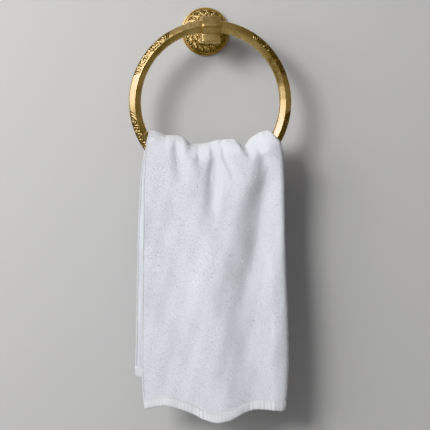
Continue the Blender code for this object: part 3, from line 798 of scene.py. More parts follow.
# %% Tables of the folds
FRONT_FOLDS = {
    "left pleat": (
        FoldRow(z=-100, x=-39, rise=-2.0, left=4, right=6),
        FoldRow(z=-118, x=-37, rise=-2.8, left=4, right=7),
        FoldRow(z=-135, x=-34, rise=-2.2, left=5, right=8),
        FoldRow(z=-155, x=-32, rise=0.0, left=6, right=9),
    ),
    "second pleat": (
        FoldRow(z=-104, x=-20, rise=-2.2, left=3, right=6),
        FoldRow(z=-116, x=-17, rise=-2.8, left=3.5, right=7),
        FoldRow(z=-128, x=-14, rise=-2.6, left=4, right=8),
        FoldRow(z=-150, x=-7, rise=0.0, left=6, right=9),
    ),
    "middle trough": (
        FoldRow(z=-104, x=8, rise=-2.0, left=5, right=14),
        FoldRow(z=-116, x=8, rise=-2.8, left=5, right=16),
        FoldRow(z=-130, x=5, rise=-4.2, left=7, right=20),
        FoldRow(z=-150, x=3, rise=-5.4, left=9.5, right=24),
        FoldRow(z=-165, x=3, rise=-5.2, left=10, right=26),
        FoldRow(z=-185, x=4, rise=-3.4, left=10, right=26),
        FoldRow(z=-205, x=5, rise=-1.4, left=11, right=26),
        FoldRow(z=-225, x=6, rise=0.0, left=12, right=26),
    ),
    "main ridge": (
        FoldRow(z=-104, x=14, rise=1.0, left=9, right=14),
        FoldRow(z=-130, x=14, rise=2.0, left=9, right=18),
        FoldRow(z=-165, x=12, rise=2.5, left=10, right=22),
        FoldRow(z=-205, x=8, rise=3.0, left=18, right=26),
        FoldRow(z=-245, x=2, rise=4.0, left=24, right=30),
        FoldRow(z=-330, x=0, rise=3.2, left=32, right=30),
        FoldRow(z=-400, x=4, rise=3.8, left=30, right=28),
    ),
    "great valley": (
        FoldRow(z=-104, x=31, rise=-2.0, left=5, right=7),
        FoldRow(z=-116, x=38, rise=-2.4, left=5, right=7),
        FoldRow(z=-121, x=46, rise=-3.2, left=6, right=8),
        FoldRow(z=-130, x=53, rise=-5.0, left=7.5, right=10),
        FoldRow(z=-150, x=56, rise=-8.8, left=11, right=15),
        FoldRow(z=-165, x=53, rise=-10.8, left=13.5, right=19),
        FoldRow(z=-185, x=50, rise=-12.0, left=16, right=24),
        FoldRow(z=-210, x=48, rise=-10.5, left=16.5, right=28),
        FoldRow(z=-235, x=46, rise=-7.2, left=17, right=30),
        FoldRow(z=-260, x=39, rise=-4.4, left=17, right=30),
        FoldRow(z=-290, x=34, rise=-3.2, left=17, right=30),
        FoldRow(z=-320, x=34, rise=-2.4, left=17, right=28),
        FoldRow(z=-350, x=38, rise=-1.8, left=16, right=26),
        FoldRow(z=-390, x=35, rise=-1.2, left=15, right=24),
    ),
    "right roll": (
        FoldRow(z=-100, x=56, rise=2.0, left=12, right=10),
        FoldRow(z=-125, x=62, rise=1.5, left=12, right=10),
        FoldRow(z=-180, x=66, rise=0.5, left=12, right=10),
        FoldRow(z=-300, x=66, rise=0.5, left=12, right=10),
        FoldRow(z=-390, x=62, rise=1.0, left=12, right=10),
    ),
    "tongue, left side": (
        FoldRow(z=-110, x=3, rise=-0.8, left=2.2, right=3.0),
        FoldRow(z=-130, x=0, rise=-1.2, left=2.5, right=4.0),
        FoldRow(z=-150, x=-2, rise=-0.8, left=3.0, right=5.0),
        FoldRow(z=-185, x=-3, rise=0.0, left=4.0, right=6.0),
    ),
    "tongue, right side": (
        FoldRow(z=-110, x=6, rise=-1.2, left=1.8, right=3.0),
        FoldRow(z=-125, x=11, rise=-1.8, left=2.2, right=4.0),
        FoldRow(z=-142, x=19, rise=-1.2, left=2.8, right=5.0),
        FoldRow(z=-156, x=25, rise=0.0, left=3.4, right=6.0),
    ),
}
BACK_FOLDS = {
    "left back ridge": (
        FoldRow(z=-110, x=-34, rise=1.5, left=14, right=16),
        FoldRow(z=-240, x=-36, rise=3.5, left=20, right=20),
        FoldRow(z=-366, x=-34, rise=3.0, left=22, right=20),
    ),
    "middle back trough": (
        FoldRow(z=-104, x=2, rise=-2.0, left=9, right=10),
        FoldRow(z=-200, x=0, rise=-3.5, left=14, right=14),
        FoldRow(z=-366, x=4, rise=-2.0, left=18, right=16),
    ),
    "right back ridge": (
        FoldRow(z=-110, x=36, rise=1.5, left=12, right=16),
        FoldRow(z=-220, x=38, rise=4.0, left=16, right=18),
        FoldRow(z=-366, x=42, rise=4.5, left=20, right=18),
    ),
}
FRONT = Drop(edges=FRONT_EDGES, hem=FRONT_HEM, folds=FRONT_FOLDS, y=-66.5, outward=-1)
BACK = Drop(edges=BACK_EDGES, hem=BACK_HEM, folds=BACK_FOLDS, y=-35.0, outward=1)
print("front folds:", ", ".join(FRONT_FOLDS))

# %% [markdown]
# A fold is a soft trough or ridge: it rises by a set amount at its middle and dies away to each side.
# Added to them are a faint waviness, because no cloth hangs like sheet metal, and the puckers that
# stitching draws up along a hem.

# %% Folds, waviness and puckers
FOLD_FADE = 12.0
Wave = namedtuple("Wave", "length heading rise")
WAVES = (
    Wave(length=61.0, heading=0.30, rise=0.45),
    Wave(length=43.0, heading=1.10, rise=0.35),
    Wave(length=34.0, heading=2.20, rise=0.28),
    Wave(length=23.0, heading=0.75, rise=0.20),
    Wave(length=17.0, heading=2.70, rise=0.14),
)
WAVE_LENGTHENING = 0.55
WAVE_OFFSET = 1.7
PuckerPlace = namedtuple("PuckerPlace", "x spread")
PUCKER_PLACES = (PuckerPlace(x=-14, spread=15), PuckerPlace(x=48, spread=24))
PUCKER_REACH = 11.0
PUCKER_RISE = 0.18


def waviness(x, z):
    """A few long ripples that cross each other, drawn out lengthwise."""
    total = 0.0
    for number, wave in enumerate(WAVES):
        along = x * math.cos(wave.heading) + WAVE_LENGTHENING * z * math.sin(wave.heading)
        turns = 2 * math.pi * along / wave.length + WAVE_OFFSET * number
        total = total + wave.rise * np.sin(turns)
    return total


def puckers(hem, x, z):
    """Small upright ripples that fade out above the hem."""
    above = np.maximum(z - read_table(hem, "x", "z", x), 0)
    where = sum(np.exp(-(((x - place.x) / place.spread) ** 2)) for place in PUCKER_PLACES)
    ripple = np.sin(x / 0.62) + 0.7 * np.sin(x / 0.91 + 1.0)
    return PUCKER_RISE * where * ripple * np.exp(-((above / PUCKER_REACH) ** 2))


def fold_rise(folds, x, z):
    """How far all the folds together bring the cloth out of its plane."""
    total = np.zeros(np.broadcast(x, z).shape)
    for rows in folds.values():
        beyond = np.maximum(np.maximum(z - rows[0].z, rows[-1].z - z), 0.0)
        strength = np.exp(-((beyond / FOLD_FADE) ** 2))
        away = x - read_table(rows, "z", "x", z)
        left, right = read_table(rows, "z", "left", z), read_table(rows, "z", "right", z)
        shape = np.exp(-((away / np.where(away < 0, left, right)) ** 2))
        total = total + strength * read_table(rows, "z", "rise", z) * shape
    return total


# %% [markdown]
# A place on the cloth is given by three numbers. `across` runs from the free edges, 0, to the
# lengthwise fold, 1. `turned` is 1 on the outer layer, -1 on the inner one, and between them on the
# fold. `row` runs from the front hem, 0, up over the ring and down to the back hem.

# %% Sizes of the cloth's path
LAYER = 2.2
LAYER_STEP = 5.8
PRESSED_STEP = 4.0
FACET_ALLOWANCE = 0.5
BAR_DEPTH = 10.8
BAR_CLEARANCE = BAR_HALF_WIDTH + BORE_GAP + LAYER / 2 + FACET_ALLOWANCE
FOLD_LEAD = 16.0
FOLD_BEND = 2.0
FOLD_CALM = 0.6
WAVES_BELOW = -120.0
WAVES_FADE = 60.0
SLOPE_PROBE = 1.0
STEEPEST_PARTING = 1.6
ROLL_PARTING = 1.6
RELEASE_DEPTH = 14.0
RELEASE_START = 3.0
RELEASE_LENGTH = 26.0
BAR_BLEND = 0.6
CROWN_ROLL = 3.0
ARCH_RISE = 15.0
ROW_CROWDING = 1.25
FRONT_ROWS = 22
ARCH_ROWS = 8
BACK_ROWS = 10
LAST_ROW = FRONT_ROWS + ARCH_ROWS + BACK_ROWS
HIDDEN_INSET = 1.6


def drop_x(drop, across, angle, z):
    """Place along X on a hanging drop."""
    hidden = (1 + drop.outward * np.sin(angle)) / 2
    left = read_table(drop.edges, "z", "left", z) + HIDDEN_INSET * hidden
    roll = read_table(drop.edges, "z", "roll", z)
    flat_end = read_table(drop.edges, "z", "right", z) - roll
    return left + across * (flat_end - left) + roll * np.cos(angle)


def in_front_of_bar(drop, x, z, y, outer_share):
    """Holds a layer off the bar where the drop hangs past it, and lets it go below the bar."""
    reach = BAR_DEPTH / 2 + BORE_GAP + LAYER / 2 + FACET_ALLOWANCE + outer_share * PRESSED_STEP
    outer_radius = RING_RADIUS + BAR_HALF_WIDTH
    bar_low = RING_CENTRE_Z - np.sqrt(np.maximum(outer_radius**2 - x * x, 0))
    limit = reach - RELEASE_DEPTH * ease((bar_low - RELEASE_START - z) / RELEASE_LENGTH)
    distance = drop.outward * (y - RING_Y)
    # A soft maximum of the two, so the cloth bends round the bar without a crease.
    most = BAR_BLEND * np.logaddexp(distance / BAR_BLEND, limit / BAR_BLEND)
    return RING_Y + drop.outward * most


def drop_y(drop, x, z, angle):
    """Depth of a layer's middle: the outer layer carries the folds, and the inner one lies behind it."""
    right = read_table(drop.edges, "z", "right", z)
    roll = read_table(drop.edges, "z", "roll", z)
    outer_share = (1 + np.sin(angle)) / 2
    near_fold = ease((x - (right - FOLD_LEAD)) / FOLD_LEAD)
    rise = fold_rise(drop.folds, x, z)
    loose = (1 - FOLD_CALM * near_fold) * ease((WAVES_BELOW - z) / WAVES_FADE)
    wavy = loose * waviness(x, z) + puckers(drop.hem, x, z)
    outer = drop.y + drop.outward * (rise + wavy - FOLD_BEND * near_fold)
    outer = in_front_of_bar(drop, x, z, outer, 1.0)
    slope = fold_rise(drop.folds, x + SLOPE_PROBE, z) - fold_rise(drop.folds, x - SLOPE_PROBE, z)
    slope = slope / (2 * SLOPE_PROBE)
    apart = LAYER_STEP * np.minimum(np.hypot(1, slope), STEEPEST_PARTING)
    apart = apart + np.maximum(ROLL_PARTING * roll - apart, 0) * near_fold
    inner = in_front_of_bar(drop, x, z, outer - drop.outward * apart, 0.0)
    return inner + (outer - inner) * outer_share


# %% Over the ring
def crown_height(line_z, outer_share):
    """Height of a layer's middle where the outer layer's face reaches the top line."""
    return line_z - LAYER / 2 - (1 - outer_share) * LAYER_STEP


def crown_x(across, angle, outer_share):
    """Where the cloth crosses over inside the ring, between the two sides of the bar."""
    room = RING_RADIUS - BAR_CLEARANCE
    left, right = [
        np.sqrt(room**2 - (crown_height(line.z, outer_share) - RING_CENTRE_Z) ** 2)
        for line in (TOP_LINE[0], TOP_LINE[-1])
    ]
    return -left + across * (right - CROWN_ROLL + left) + CROWN_ROLL * np.cos(angle)


def free_place(across, turned, row):
    """Places of the cloth as it would lie with no bar in its way."""
    angle = np.pi / 2 * turned
    outer_share = (1 + turned) / 2
    top_x = crown_x(across, angle, outer_share)
    crown_z = crown_height(read_table(TOP_LINE, "x", "z", top_x), outer_share)
    arch_z = crown_z - ARCH_RISE + (1 - outer_share) * LAYER_STEP
    swing = np.pi * np.clip((row - FRONT_ROWS) / ARCH_ROWS, 0, 1)
    ends = []
    for drop in (FRONT, BACK):
        x = drop_x(drop, across, angle, arch_z)
        ends.append((x, drop_y(drop, x, arch_z, angle)))
    share = (1 - np.cos(swing)) / 2
    low_x = ends[0][0] * (1 - share) + ends[1][0] * share
    arch = np.stack(
        [
            top_x + (low_x - top_x) * np.cos(swing) ** 2,
            ends[0][1] + (ends[1][1] - ends[0][1]) * share,
            arch_z + (crown_z - arch_z) * np.sin(swing),
        ]
    )
    front_down = np.clip((FRONT_ROWS - row) / FRONT_ROWS, 0, None)
    back_down = np.clip((row - FRONT_ROWS - ARCH_ROWS) / BACK_ROWS, 0, None)
    place = arch
    drops = ((FRONT, front_down, row < FRONT_ROWS), (BACK, back_down, back_down > 0))
    for drop, down, hanging in drops:
        hem_x = drop_x(drop, across, angle, float(drop.hem[0].z))
        hem_z = read_table(drop.hem, "x", "z", hem_x)
        z = arch_z + (hem_z - arch_z) * down**ROW_CROWDING
        x = drop_x(drop, across, angle, z)
        place = np.where(hanging, np.stack([x, drop_y(drop, x, z, angle), z]), place)
    return place


def off_bar(place, needed, outer_extra):
    """The shortest move that takes a place to its needed distance from the middle of the bar.

    The outer layer needs some extra before and behind the bar, where the inner layer lies under it.
    """
    x, y, z = place
    radius = np.hypot(x, z - RING_CENTRE_Z)
    out_r, out_y = radius - RING_RADIUS, y - RING_Y
    away = np.hypot(out_r, out_y)
    needed = needed + outer_extra * (np.abs(out_y) / away) ** 3
    grow = np.maximum(needed / away - 1, 0)
    move_out = out_r * grow / radius
    return np.stack([x * move_out, out_y * grow, (z - RING_CENTRE_Z) * move_out])


def cloth_place(across, turned, row):
    """Places of the cloth's middle surface, in millimetres, for arrays of across, turned and row."""
    across, turned, row = np.broadcast_arrays(across, turned, row)
    place = free_place(across, turned, row)
    ends = free_place(1.0, 1.0, row), free_place(1.0, -1.0, row)
    fold_move = off_bar((ends[0] + ends[1]) / 2, BAR_CLEARANCE + LAYER_STEP / 2, 0.0)
    own_move = off_bar(place, BAR_CLEARANCE, PRESSED_STEP * (1 + turned) / 2)
    place = place + np.where(across < 1, own_move, fold_move)
    return np.moveaxis(place, 0, -1)


# %% [markdown]
# ## Terry cloth
#
# Terry is a plain ground weave with loops of yarn standing on both sides. The ground is a thin sheet
# with true thickness, made from one grid. It is nearly hidden, so its finish only needs the colour of
# the yarn and a fine grain. Sheen gives the pale bloom that soft cotton has at its edges, and light that
# spreads a little way under the surface softens the shading, as it does in a thick white towel.

# %% Cotton finishes
COTTON_LIGHT = (0.675, 0.698, 0.747, 1)
COTTON_DARK = (0.656, 0.677, 0.727, 1)
HEM_LIGHT = (0.70, 0.712, 0.738, 1)
HEM_DARK = (0.66, 0.674, 0.702, 1)
EDGE_LIGHT = (0.58, 0.595, 0.63, 1)
EDGE_DARK = (0.53, 0.545, 0.58, 1)
LIGHT_REACH = 2.0


def cotton_finish(name, light, dark, grain, relief, sheen):
    """Matt cotton with small changes of shade and a fine grain."""
    material, tree, shader = shader_nodes(name)
    shader.inputs["Roughness"].default_value = 0.92
    shader.inputs["Specular IOR Level"].default_value = 0.2
    shader.inputs["Sheen Weight"].default_value = sheen
    shader.inputs["Sheen Roughness"].default_value = 0.6
    shader.inputs["Subsurface Weight"].default_value = 1.0
    shader.inputs["Subsurface Radius"].default_value = (1.0, 1.0, 1.0)
    shader.inputs["Subsurface Scale"].default_value = LIGHT_REACH * MM
    shade = stretch(tree, noise(tree, grain), 0.35, 0.65)
    tree.links.new(blend_colours(tree, shade, dark, light), shader.inputs["Base Color"])
    add_bump(tree, shader, noise(tree, grain * 0.35), 0.5, relief)
    return material


terry = cotton_finish("terry cotton", COTTON_LIGHT, COTTON_DARK, 3.0, 0.12, 0.25)
plain_weave = cotton_finish("plain weave cotton", HEM_LIGHT, HEM_DARK, 1.6, 0.08, 0.12)
edge_weave = cotton_finish("selvedge cotton", EDGE_LIGHT, EDGE_DARK, 1.6, 0.08, 0.0)
print("cotton finishes:", ", ".join(finish.name for finish in (terry, plain_weave, edge_weave)))

# %% Ground weave
CLOTH_THICKNESS = 1.7
HEM_TRIM = 0.04


def cloth_columns(outer, roll, inner):
    """(across, turned) of columns over the outer layer, round the fold and over the inner layer."""
    there, back = np.linspace(0, 1, outer + 1), np.linspace(1, 0, inner + 1)
    bend = np.linspace(1, -1, roll + 1)[1:-1]
    across = np.concatenate([there, np.ones(len(bend)), back])
    turned = np.concatenate([np.ones(len(there)), bend, -np.ones(len(back))])
    return across, turned


def build_ground():
    """The whole cloth as one grid, given its thickness by Solidify."""
    across, turned = cloth_columns(84, 14, 26)
    rows = np.concatenate(
        [
            np.linspace(HEM_TRIM, FRONT_ROWS, 84),
            np.linspace(FRONT_ROWS, FRONT_ROWS + ARCH_ROWS, 24)[1:],
            np.linspace(FRONT_ROWS + ARCH_ROWS, LAST_ROW - HEM_TRIM, 56)[1:],
        ]
    )
    points = cloth_place(across[None, :], turned[None, :], rows[:, None])
    mesh = mesh_of("towel_ground", points, grid_faces(len(rows), len(across)))
    towel = add_piece("towel_ground", mesh, terry, "hand_towel")
    body = towel.modifiers.new("Cloth thickness", "SOLIDIFY")
    body.thickness = CLOTH_THICKNESS * MM
    body.offset = 0
    return towel


towel = build_ground()

# %% [markdown]
# ## Terry loops
#
# Each loop is a short arch of soft yarn. Thousands of them, set in jittered rows and turned at random,
# make the pebbly surface and the soft outline of a washed towel. Hair particles could do this, but they
# do not survive as a mesh. All the loops of one patch are made at once, as one array of points.
#
# Real loops are finer than these and scatter light among themselves. So each point gets a normal of its
# own, part way between the cloth's direction and the loop's, and the loops throw no shadows.

# %% Sizes of the loops and directions on the cloth
LOOP_PITCH = 1.62
LOOP_RADIUS = 0.50
LOOP_SPAN = 1.15
LOOP_HEIGHT = 0.56
LOOP_ROOT = 0.25
LOOP_LEAN = 0.45
LOOP_DROOP = 0.35
LOOP_JITTER = 0.42
ROLL_TURNS = (0.88, -0.95, 11)
HEM_WIDTH = 9.6
HEM_CLEARANCE = 0.4
SELVEDGE_WIDTH = 0.9
OUTER_WIDTH = 148.0
INNER_STRIP = 13.0
PILE_SOFTNESS = 0.55
PILE_PATCHES = 4
PATH_STEPS = 1200
PROBE_ACROSS = 0.004
PROBE_TURNED = 0.05
PROBE_ROW = 0.03


def unit(vectors):
    """Vectors scaled to length 1."""
    return vectors / np.maximum(np.linalg.norm(vectors, axis=-1, keepdims=True), 1e-9)


def cloth_normals(across, turned, row):
    """Outward directions of the folded cloth."""
    flat = across < 1
    step_across = np.where(flat, PROBE_ACROSS, 0.0) * np.sign(turned)
    step_turned = np.where(flat, 0.0, PROBE_TURNED)
    side = cloth_place(across + step_across, turned - step_turned, row)
    side = side - cloth_place(across - step_across, turned + step_turned, row)
    up = cloth_place(across, turned, row + PROBE_ROW) - cloth_place(across, turned, row - PROBE_ROW)
    return unit(np.cross(side, up))


def even_rows(pitch):
    """Rows an even distance apart along the cloth, read from the middle of the outer layer."""
    fine = np.linspace(0, LAST_ROW, PATH_STEPS)
    path = cloth_place(0.5, 1.0, fine)
    length = np.concatenate([[0.0], np.cumsum(np.linalg.norm(np.diff(path, axis=0), axis=1))])
    return np.interp(np.arange(pitch / 2, length[-1], pitch), length, fine)


# %% Where the loops stand
def loop_seats():
    """(across, turned, row) of every loop: the outer layer, the fold, and a strip of the inner layer."""
    rows = even_rows(LOOP_PITCH)
    outer = np.arange(SELVEDGE_WIDTH, OUTER_WIDTH, LOOP_PITCH) / OUTER_WIDTH
    around = np.linspace(*ROLL_TURNS)
    across = np.concatenate([outer, np.ones(len(around))])
    turned = np.concatenate([np.ones(len(outer)), around])
    inner = outer[outer < INNER_STRIP / OUTER_WIDTH]
    across = np.concatenate([across, inner])
    turned = np.concatenate([turned, -np.ones(len(inner))])
    row_step = np.gradient(rows)
    across, row = np.meshgrid(across, rows)
    turned = np.broadcast_to(turned, across.shape).copy()
    row_step = np.broadcast_to(row_step[:, None], across.shape)
    half_pitch = 0.5 * (np.arange(len(rows)) % 2)[:, None]
    shift = half_pitch + chance.uniform(-LOOP_JITTER, LOOP_JITTER, across.shape)
    on_flat = across < 1
    across = np.where(on_flat, np.clip(across + shift * LOOP_PITCH / OUTER_WIDTH, 0, 0.9995), 1.0)
    turned = np.where(on_flat, turned, np.clip(turned + 0.2 * shift, -1, 1))
    row = row + chance.uniform(-LOOP_JITTER, LOOP_JITTER, across.shape) * row_step
    return across.ravel(), turned.ravel(), np.clip(row, 0, LAST_ROW).ravel()


def above_hem(places, row):
    """True for places that lie above the flat band of their hem."""
    clear = np.ones(len(row), dtype=bool)
    for drop, hanging in ((FRONT, row < FRONT_ROWS), (BACK, row > FRONT_ROWS + ARCH_ROWS)):
        height = places[:, 2] - read_table(drop.hem, "x", "z", places[:, 0])
        clear &= ~hanging | (height > HEM_WIDTH + HEM_CLEARANCE)
    return clear


# %% Loops of yarn
RING_SIDES = 3
ARCH_STEPS = 4


def loop_mesh(name, seat, normal, side):
    """All the loops of one patch: arches of yarn that stand on their seats."""
    count = len(seat)
    up = unit(np.cross(normal, side))
    side = unit(np.cross(up, normal))
    heading = chance.uniform(0, 2 * np.pi, count)[:, None]
    along = side * np.cos(heading) + up * np.sin(heading)
    sideways = np.cross(along, normal)
    span = LOOP_SPAN * chance.uniform(0.75, 1.25, (count, 1))
    height = LOOP_HEIGHT * chance.uniform(0.7, 1.3, (count, 1))
    lean = sideways * chance.normal(0, LOOP_LEAN, (count, 1)) - up * LOOP_DROOP
    thick = LOOP_RADIUS * chance.uniform(0.85, 1.15, (count, 1))
    rings, facing = [], []
    for arch in np.linspace(0, np.pi, ARCH_STEPS):
        foot = seat - along * span / 2 * math.cos(arch)
        middle = foot + (normal * height + lean) * math.sin(arch)
        outward = -along * math.cos(arch) + normal * math.sin(arch)
        for corner in range(RING_SIDES):
            spoke = 2 * np.pi * corner / RING_SIDES
            around = outward * math.cos(spoke) + sideways * math.sin(spoke)
            rings.append(middle + thick * around)
            facing.append(unit(PILE_SOFTNESS * normal + (1 - PILE_SOFTNESS) * around))
    points = np.stack(rings, axis=1)
    one = grid_faces(ARCH_STEPS, RING_SIDES, round_columns=True)
    faces = one[None] + (np.arange(count) * ARCH_STEPS * RING_SIDES)[:, None, None]
    mesh = mesh_of(name, points, faces.reshape(-1, 4))
    mesh.normals_split_custom_set_from_vertices(np.stack(facing, axis=1).reshape(-1, 3).tolist())
    return mesh


def build_pile():
    """Splits the loops in patches from the front hem to the back hem and makes each patch."""
    across, turned, row = loop_seats()
    places = cloth_place(across, turned, row)
    keep = above_hem(places, row)
    across, turned, row, places = across[keep], turned[keep], row[keep], places[keep]
    normal = cloth_normals(across, turned, row)
    side = np.cross(cloth_place(across, turned, row + PROBE_ROW) - places, normal)
    seat = places + normal * (CLOTH_THICKNESS / 2 - LOOP_ROOT)
    order = np.argsort(row, kind="stable")
    patches = []
    for number, part in enumerate(np.array_split(order, PILE_PATCHES), start=1):
        mesh = loop_mesh(f"terry_loops_{number}", seat[part], normal[part], side[part])
        patch = add_piece(f"terry_loops_{number}", mesh, terry)
        patch.visible_shadow = False
        patches.append(patch)
    print("loops:", len(order))
    return patches


pile = build_pile()

# %% [markdown]
# ## Hems and selvedges
#
# Each short end is turned under and stitched, a flat, paler band without loops. The long sides end in a
# narrow woven selvedge. Both are bands that wrap round the cloth's edge, so one builder makes them:
# it takes the cloth's places near the edge and lays a U-shaped section over them.

# %% Bands round an edge
BandRow = namedtuple("BandRow", "inward proud")
HEM_SECTION = (
    BandRow(inward=9.7, proud=0.70),
    BandRow(inward=9.5, proud=1.15),
    BandRow(inward=9.1, proud=1.42),
    BandRow(inward=8.4, proud=1.30),
    BandRow(inward=7.9, proud=1.45),
    BandRow(inward=6.0, proud=1.62),
    BandRow(inward=3.8, proud=1.62),
    BandRow(inward=1.8, proud=1.55),
    BandRow(inward=0.8, proud=1.35),
    BandRow(inward=0.2, proud=0.95),
    BandRow(inward=-0.1, proud=0.45),
)
HEM_COLUMNS = (150, 20, 70)
HEM_RIPPLE = 0.10
SELVEDGE_SECTION = (
    BandRow(inward=1.5, proud=0.70),
    BandRow(inward=1.3, proud=1.00),
    BandRow(inward=0.8, proud=1.10),
    BandRow(inward=0.3, proud=0.95),
    BandRow(inward=0.0, proud=0.60),
    BandRow(inward=-0.1, proud=0.30),
)


def both_faces(section):
    """(inward, proud) round the edge, from the outer face to the inner one."""
    outer = [(row.inward, row.proud) for row in section]
    middle = [(section[-1].inward - 0.1, 0.0)]
    return np.array(outer + middle + [(inward, -proud) for inward, proud in reversed(outer)])


def hem_places(drop, across, turned, above):
    """Places of a drop a set distance above its hem line."""
    angle = np.pi / 2 * turned
    hem_x = drop_x(drop, across, angle, float(drop.hem[0].z))
    z = read_table(drop.hem, "x", "z", hem_x) + above
    x = drop_x(drop, across, angle, z)
    return np.stack([x, drop_y(drop, x, z, angle), z], -1)


def build_hem(name, drop):
    """A band along both layers of a hem, with the small ripples of its stitching."""
    across, turned = cloth_columns(*HEM_COLUMNS)
    section = both_faces(HEM_SECTION)
    across, inward = np.meshgrid(across, section[:, 0], indexing="ij")
    turned = np.broadcast_to(turned[:, None], across.shape)
    places = hem_places(drop, across, turned, inward)
    higher = hem_places(drop, across, turned, inward + 0.5)
    up = (higher - places) * -drop.outward
    side = np.gradient(places, axis=0)
    normal = unit(np.cross(side, up))
    x = places[..., 0]
    proud = section[:, 1] * (1 + HEM_RIPPLE * np.sin(x / 0.55) * np.sin(x / 7.0))
    points = places + normal * proud[..., None]
    faces = grid_faces(*across.shape)
    mesh = mesh_of(name, points, faces if drop is FRONT else faces[:, ::-1])
    return add_piece(name, mesh, plain_weave)


hems = [build_hem("front_hem", FRONT), build_hem("back_hem", BACK)]


# %% Selvedges
SELVEDGE_PITCH = 1.6
SELVEDGE_FROM = 0.75
SELVEDGE_SHORT = 0.35
SELVEDGE_WEAVE = 0.06


def build_selvedge(name, layer):
    """A narrow band along one free edge of the cloth, from hem to hem."""
    section = both_faces(SELVEDGE_SECTION)
    rows = even_rows(SELVEDGE_PITCH)
    rows = rows[(rows > SELVEDGE_FROM) & (rows < LAST_ROW - SELVEDGE_SHORT)]
    row, inward = np.meshgrid(rows, section[:, 0], indexing="ij")
    across = np.maximum(inward, 0) / OUTER_WIDTH
    turned = np.full(row.shape, float(layer))
    places = cloth_place(across, turned, row)
    normal = cloth_normals(np.maximum(across, 0.005), turned, row)
    edge = unit(places[:, :1] - cloth_place(across[:, :1] + 0.02, turned[:, :1], row[:, :1]))
    beyond = np.maximum(-inward, 0)[..., None] * edge
    weave = 1 + SELVEDGE_WEAVE * np.sin(np.arange(len(rows)) * 2.1)[:, None]
    points = places + normal * (section[:, 1] * weave)[..., None] + beyond
    mesh = mesh_of(name, points, grid_faces(*row.shape))
    return add_piece(name, mesh, edge_weave)


selvedges = [build_selvedge("outer_selvedge", 1), build_selvedge("inner_selvedge", -1)]

# %% Stitches
STITCH_PITCH = 2.8
STITCH_LENGTH = 2.0
STITCH_RADIUS = 0.24
STITCH_HEIGHT = 8.45
STITCH_STEPS = 7
STITCH_SIDES = 6
STITCH_FOOT = 1.28
STITCH_ARCH = 0.2


def build_stitches(name, drop):
    """A row of short stitches along the top of a hem, on its outer face."""
    count = int(OUTER_WIDTH / STITCH_PITCH)
    middles = (np.arange(count) + 0.5) / count
    half = STITCH_LENGTH / 2 / OUTER_WIDTH
    share = np.linspace(-1, 1, STITCH_STEPS)
    across = np.clip(middles[:, None] + half * share[None, :], 0, 0.999)
    above = np.full(across.shape, STITCH_HEIGHT)
    places = hem_places(drop, across, np.ones(across.shape), above)
    up = unit(hem_places(drop, across, np.ones(across.shape), above + 0.5) - places)
    along = unit(np.gradient(places, axis=1))
    normal = unit(np.cross(along, up)) * (1 if drop is FRONT else -1)
    arched = (STITCH_FOOT + STITCH_ARCH * (1 - share**4))[None, :, None]
    thick = (STITCH_RADIUS * np.sqrt(np.clip(1.02 - share**2, 0, 1)))[None, :, None]
    rings = []
    for corner in range(STITCH_SIDES):
        spoke = 2 * math.pi * corner / STITCH_SIDES
        rise = arched + thick * math.cos(spoke)
        rings.append(places + normal * rise + up * thick * math.sin(spoke))
    points = np.stack(rings, axis=2)
    one = grid_faces(STITCH_STEPS, STITCH_SIDES, round_columns=True)
    faces = one[None] + (np.arange(count) * STITCH_STEPS * STITCH_SIDES)[:, None, None]
    mesh = mesh_of(name, points, faces.reshape(-1, 4))
    return add_piece(name, mesh, plain_weave)


stitches = [build_stitches("front_stitches", FRONT), build_stitches("back_stitches", BACK)]

# %% [markdown]
# The towel was cut as one flat rectangle.

# %% [markdown]
# ## The set
#
# A plain pale wall stands behind the rosette and a plain floor lies far below. Neither is part of the
# object. The wall shows only from its front and lets light through from behind, so the back of the towel
# can be lit and looked at as well. It sends no light back on the towel, which keeps the folds deep.

# %% Wall and floor
WALL_GREY = (0.49, 0.49, 0.488, 1)
WALL_GAP = 0.4
FLOOR_Z = -1250.0
STAGE_HALF = 3000.0


def stage_plane(name, corners, colour, see_through=False):
    """A flat backdrop. One that is see-through shows only from its front."""
    mesh = mesh_of(name, corners, [(0, 1, 2, 3)])
    plane = in_scene(name, mesh)
    material, tree, shader = shader_nodes(name)
    shader.inputs["Base Color"].default_value = colour
    shader.inputs["Roughness"].default_value = 0.9
    shader.inputs["Specular IOR Level"].default_value = 0.1
    if see_through:
        face = tree.nodes.new("ShaderNodeNewGeometry")
        clear = tree.nodes.new("ShaderNodeBsdfTransparent")
        mix = tree.nodes.new("ShaderNodeMixShader")
        tree.links.new(face.outputs["Backfacing"], mix.inputs["Fac"])
        tree.links.new(shader.outputs["BSDF"], mix.inputs[1])
        tree.links.new(clear.outputs["BSDF"], mix.inputs[2])
        tree.links.new(mix.outputs["Shader"], tree.nodes["Material Output"].inputs["Surface"])
    mesh.materials.append(material)
    return plane


wall_corners = [
    (-STAGE_HALF, WALL_GAP, FLOOR_Z),
    (STAGE_HALF, WALL_GAP, FLOOR_Z),
    (STAGE_HALF, WALL_GAP, STAGE_HALF),
    (-STAGE_HALF, WALL_GAP, STAGE_HALF),
]
floor_corners = [
    (-STAGE_HALF, -STAGE_HALF, FLOOR_Z),
    (STAGE_HALF, -STAGE_HALF, FLOOR_Z),
    (STAGE_HALF, STAGE_HALF, FLOOR_Z),
    (-STAGE_HALF, STAGE_HALF, FLOOR_Z),
]
wall = stage_plane("wall", wall_corners, WALL_GREY, see_through=True)
wall.visible_diffuse = False
wall.visible_shadow = False
stage_plane("floor", floor_corners, WALL_GREY)
print("stage: wall and floor")

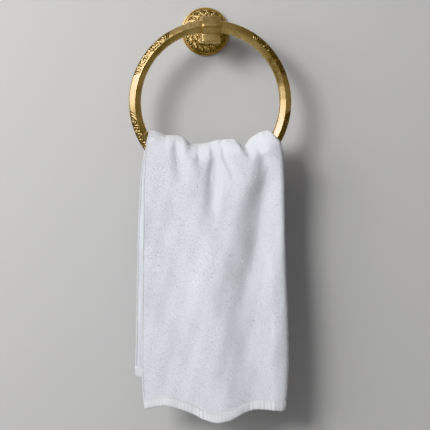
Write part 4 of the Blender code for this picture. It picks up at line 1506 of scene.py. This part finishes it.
# %% [markdown]
# ## Light
#
# Two soft lamps stand to the left, in front and a little above, as a window and the curtain beside it.
# They throw the soft shadow to the right and model the folds. A weak lamp on the right lifts the brass
# there, and one behind lights the back. A weak, uneven surround fills the shadows and gives the brass
# dark and light to mirror: without something dark to reflect, polished metal looks like paint.

# %% Lamps
LampRow = namedtuple("LampRow", "name azimuth elevation size power")
LAMPS = (
    LampRow(name="window", azimuth=-35, elevation=20, size=600, power=25.5),
    LampRow(name="back fill", azimuth=180, elevation=12, size=900, power=7.0),
    LampRow(name="room fill", azimuth=58, elevation=-4, size=1300, power=0.8),
    LampRow(name="window curtain", azimuth=-57, elevation=14, size=1160, power=16.3),
)
LAMP_DISTANCE = 1800.0
LIGHT_TARGET = np.array([0.0, -30.0, -60.0])
LAMP_COLOUR = (1.0, 0.995, 0.985)

for row in LAMPS:
    lamp = in_scene(row.name, bpy.data.lights.new(row.name, "AREA"))
    lamp.data.shape = "DISK"
    lamp.data.size = row.size * MM
    lamp.data.energy = row.power
    lamp.data.color = LAMP_COLOUR
    towards = direction(math.radians(row.azimuth), math.radians(row.elevation))
    aim(lamp, LIGHT_TARGET + LAMP_DISTANCE * towards, LIGHT_TARGET)

print("lamps:", ", ".join(row.name for row in LAMPS))

# %% Surround
SKY_DARK = (0.120, 0.108, 0.092, 1)
SKY_LIGHT = (0.46, 0.46, 0.48, 1)
SKY_LIGHT_SIDE = (-0.66, -0.52, 0.54)
SKY_FROM = -0.1
SKY_TO = 0.95

world = bpy.data.worlds.new("surround")
world.use_nodes = True
bpy.context.scene.world = world
sky = world.node_tree
sky_place = sky.nodes.new("ShaderNodeTexCoord")
sky_turn = sky.nodes.new("ShaderNodeVectorMath")
sky_turn.operation = "DOT_PRODUCT"
sky_turn.inputs[1].default_value = SKY_LIGHT_SIDE
sky.links.new(sky_place.outputs["Generated"], sky_turn.inputs[0])
sky_share = stretch(sky, sky_turn.outputs["Value"], SKY_FROM, SKY_TO)
sky_colour = blend_colours(sky, sky_share, SKY_DARK, SKY_LIGHT)
sky.links.new(sky_colour, sky.nodes["Background"].inputs["Color"])
sky.nodes["Background"].inputs["Strength"].default_value = 1.0
print("surround:", world.name)

# %% [markdown]
# Khronos PBR Neutral shows colours much as they were mixed, and only the brightest are drawn in softly.
# The default view would wash out the brass and grey the white cotton.

# %% Tones and the end
bpy.context.scene.view_settings.view_transform = "Khronos PBR Neutral"
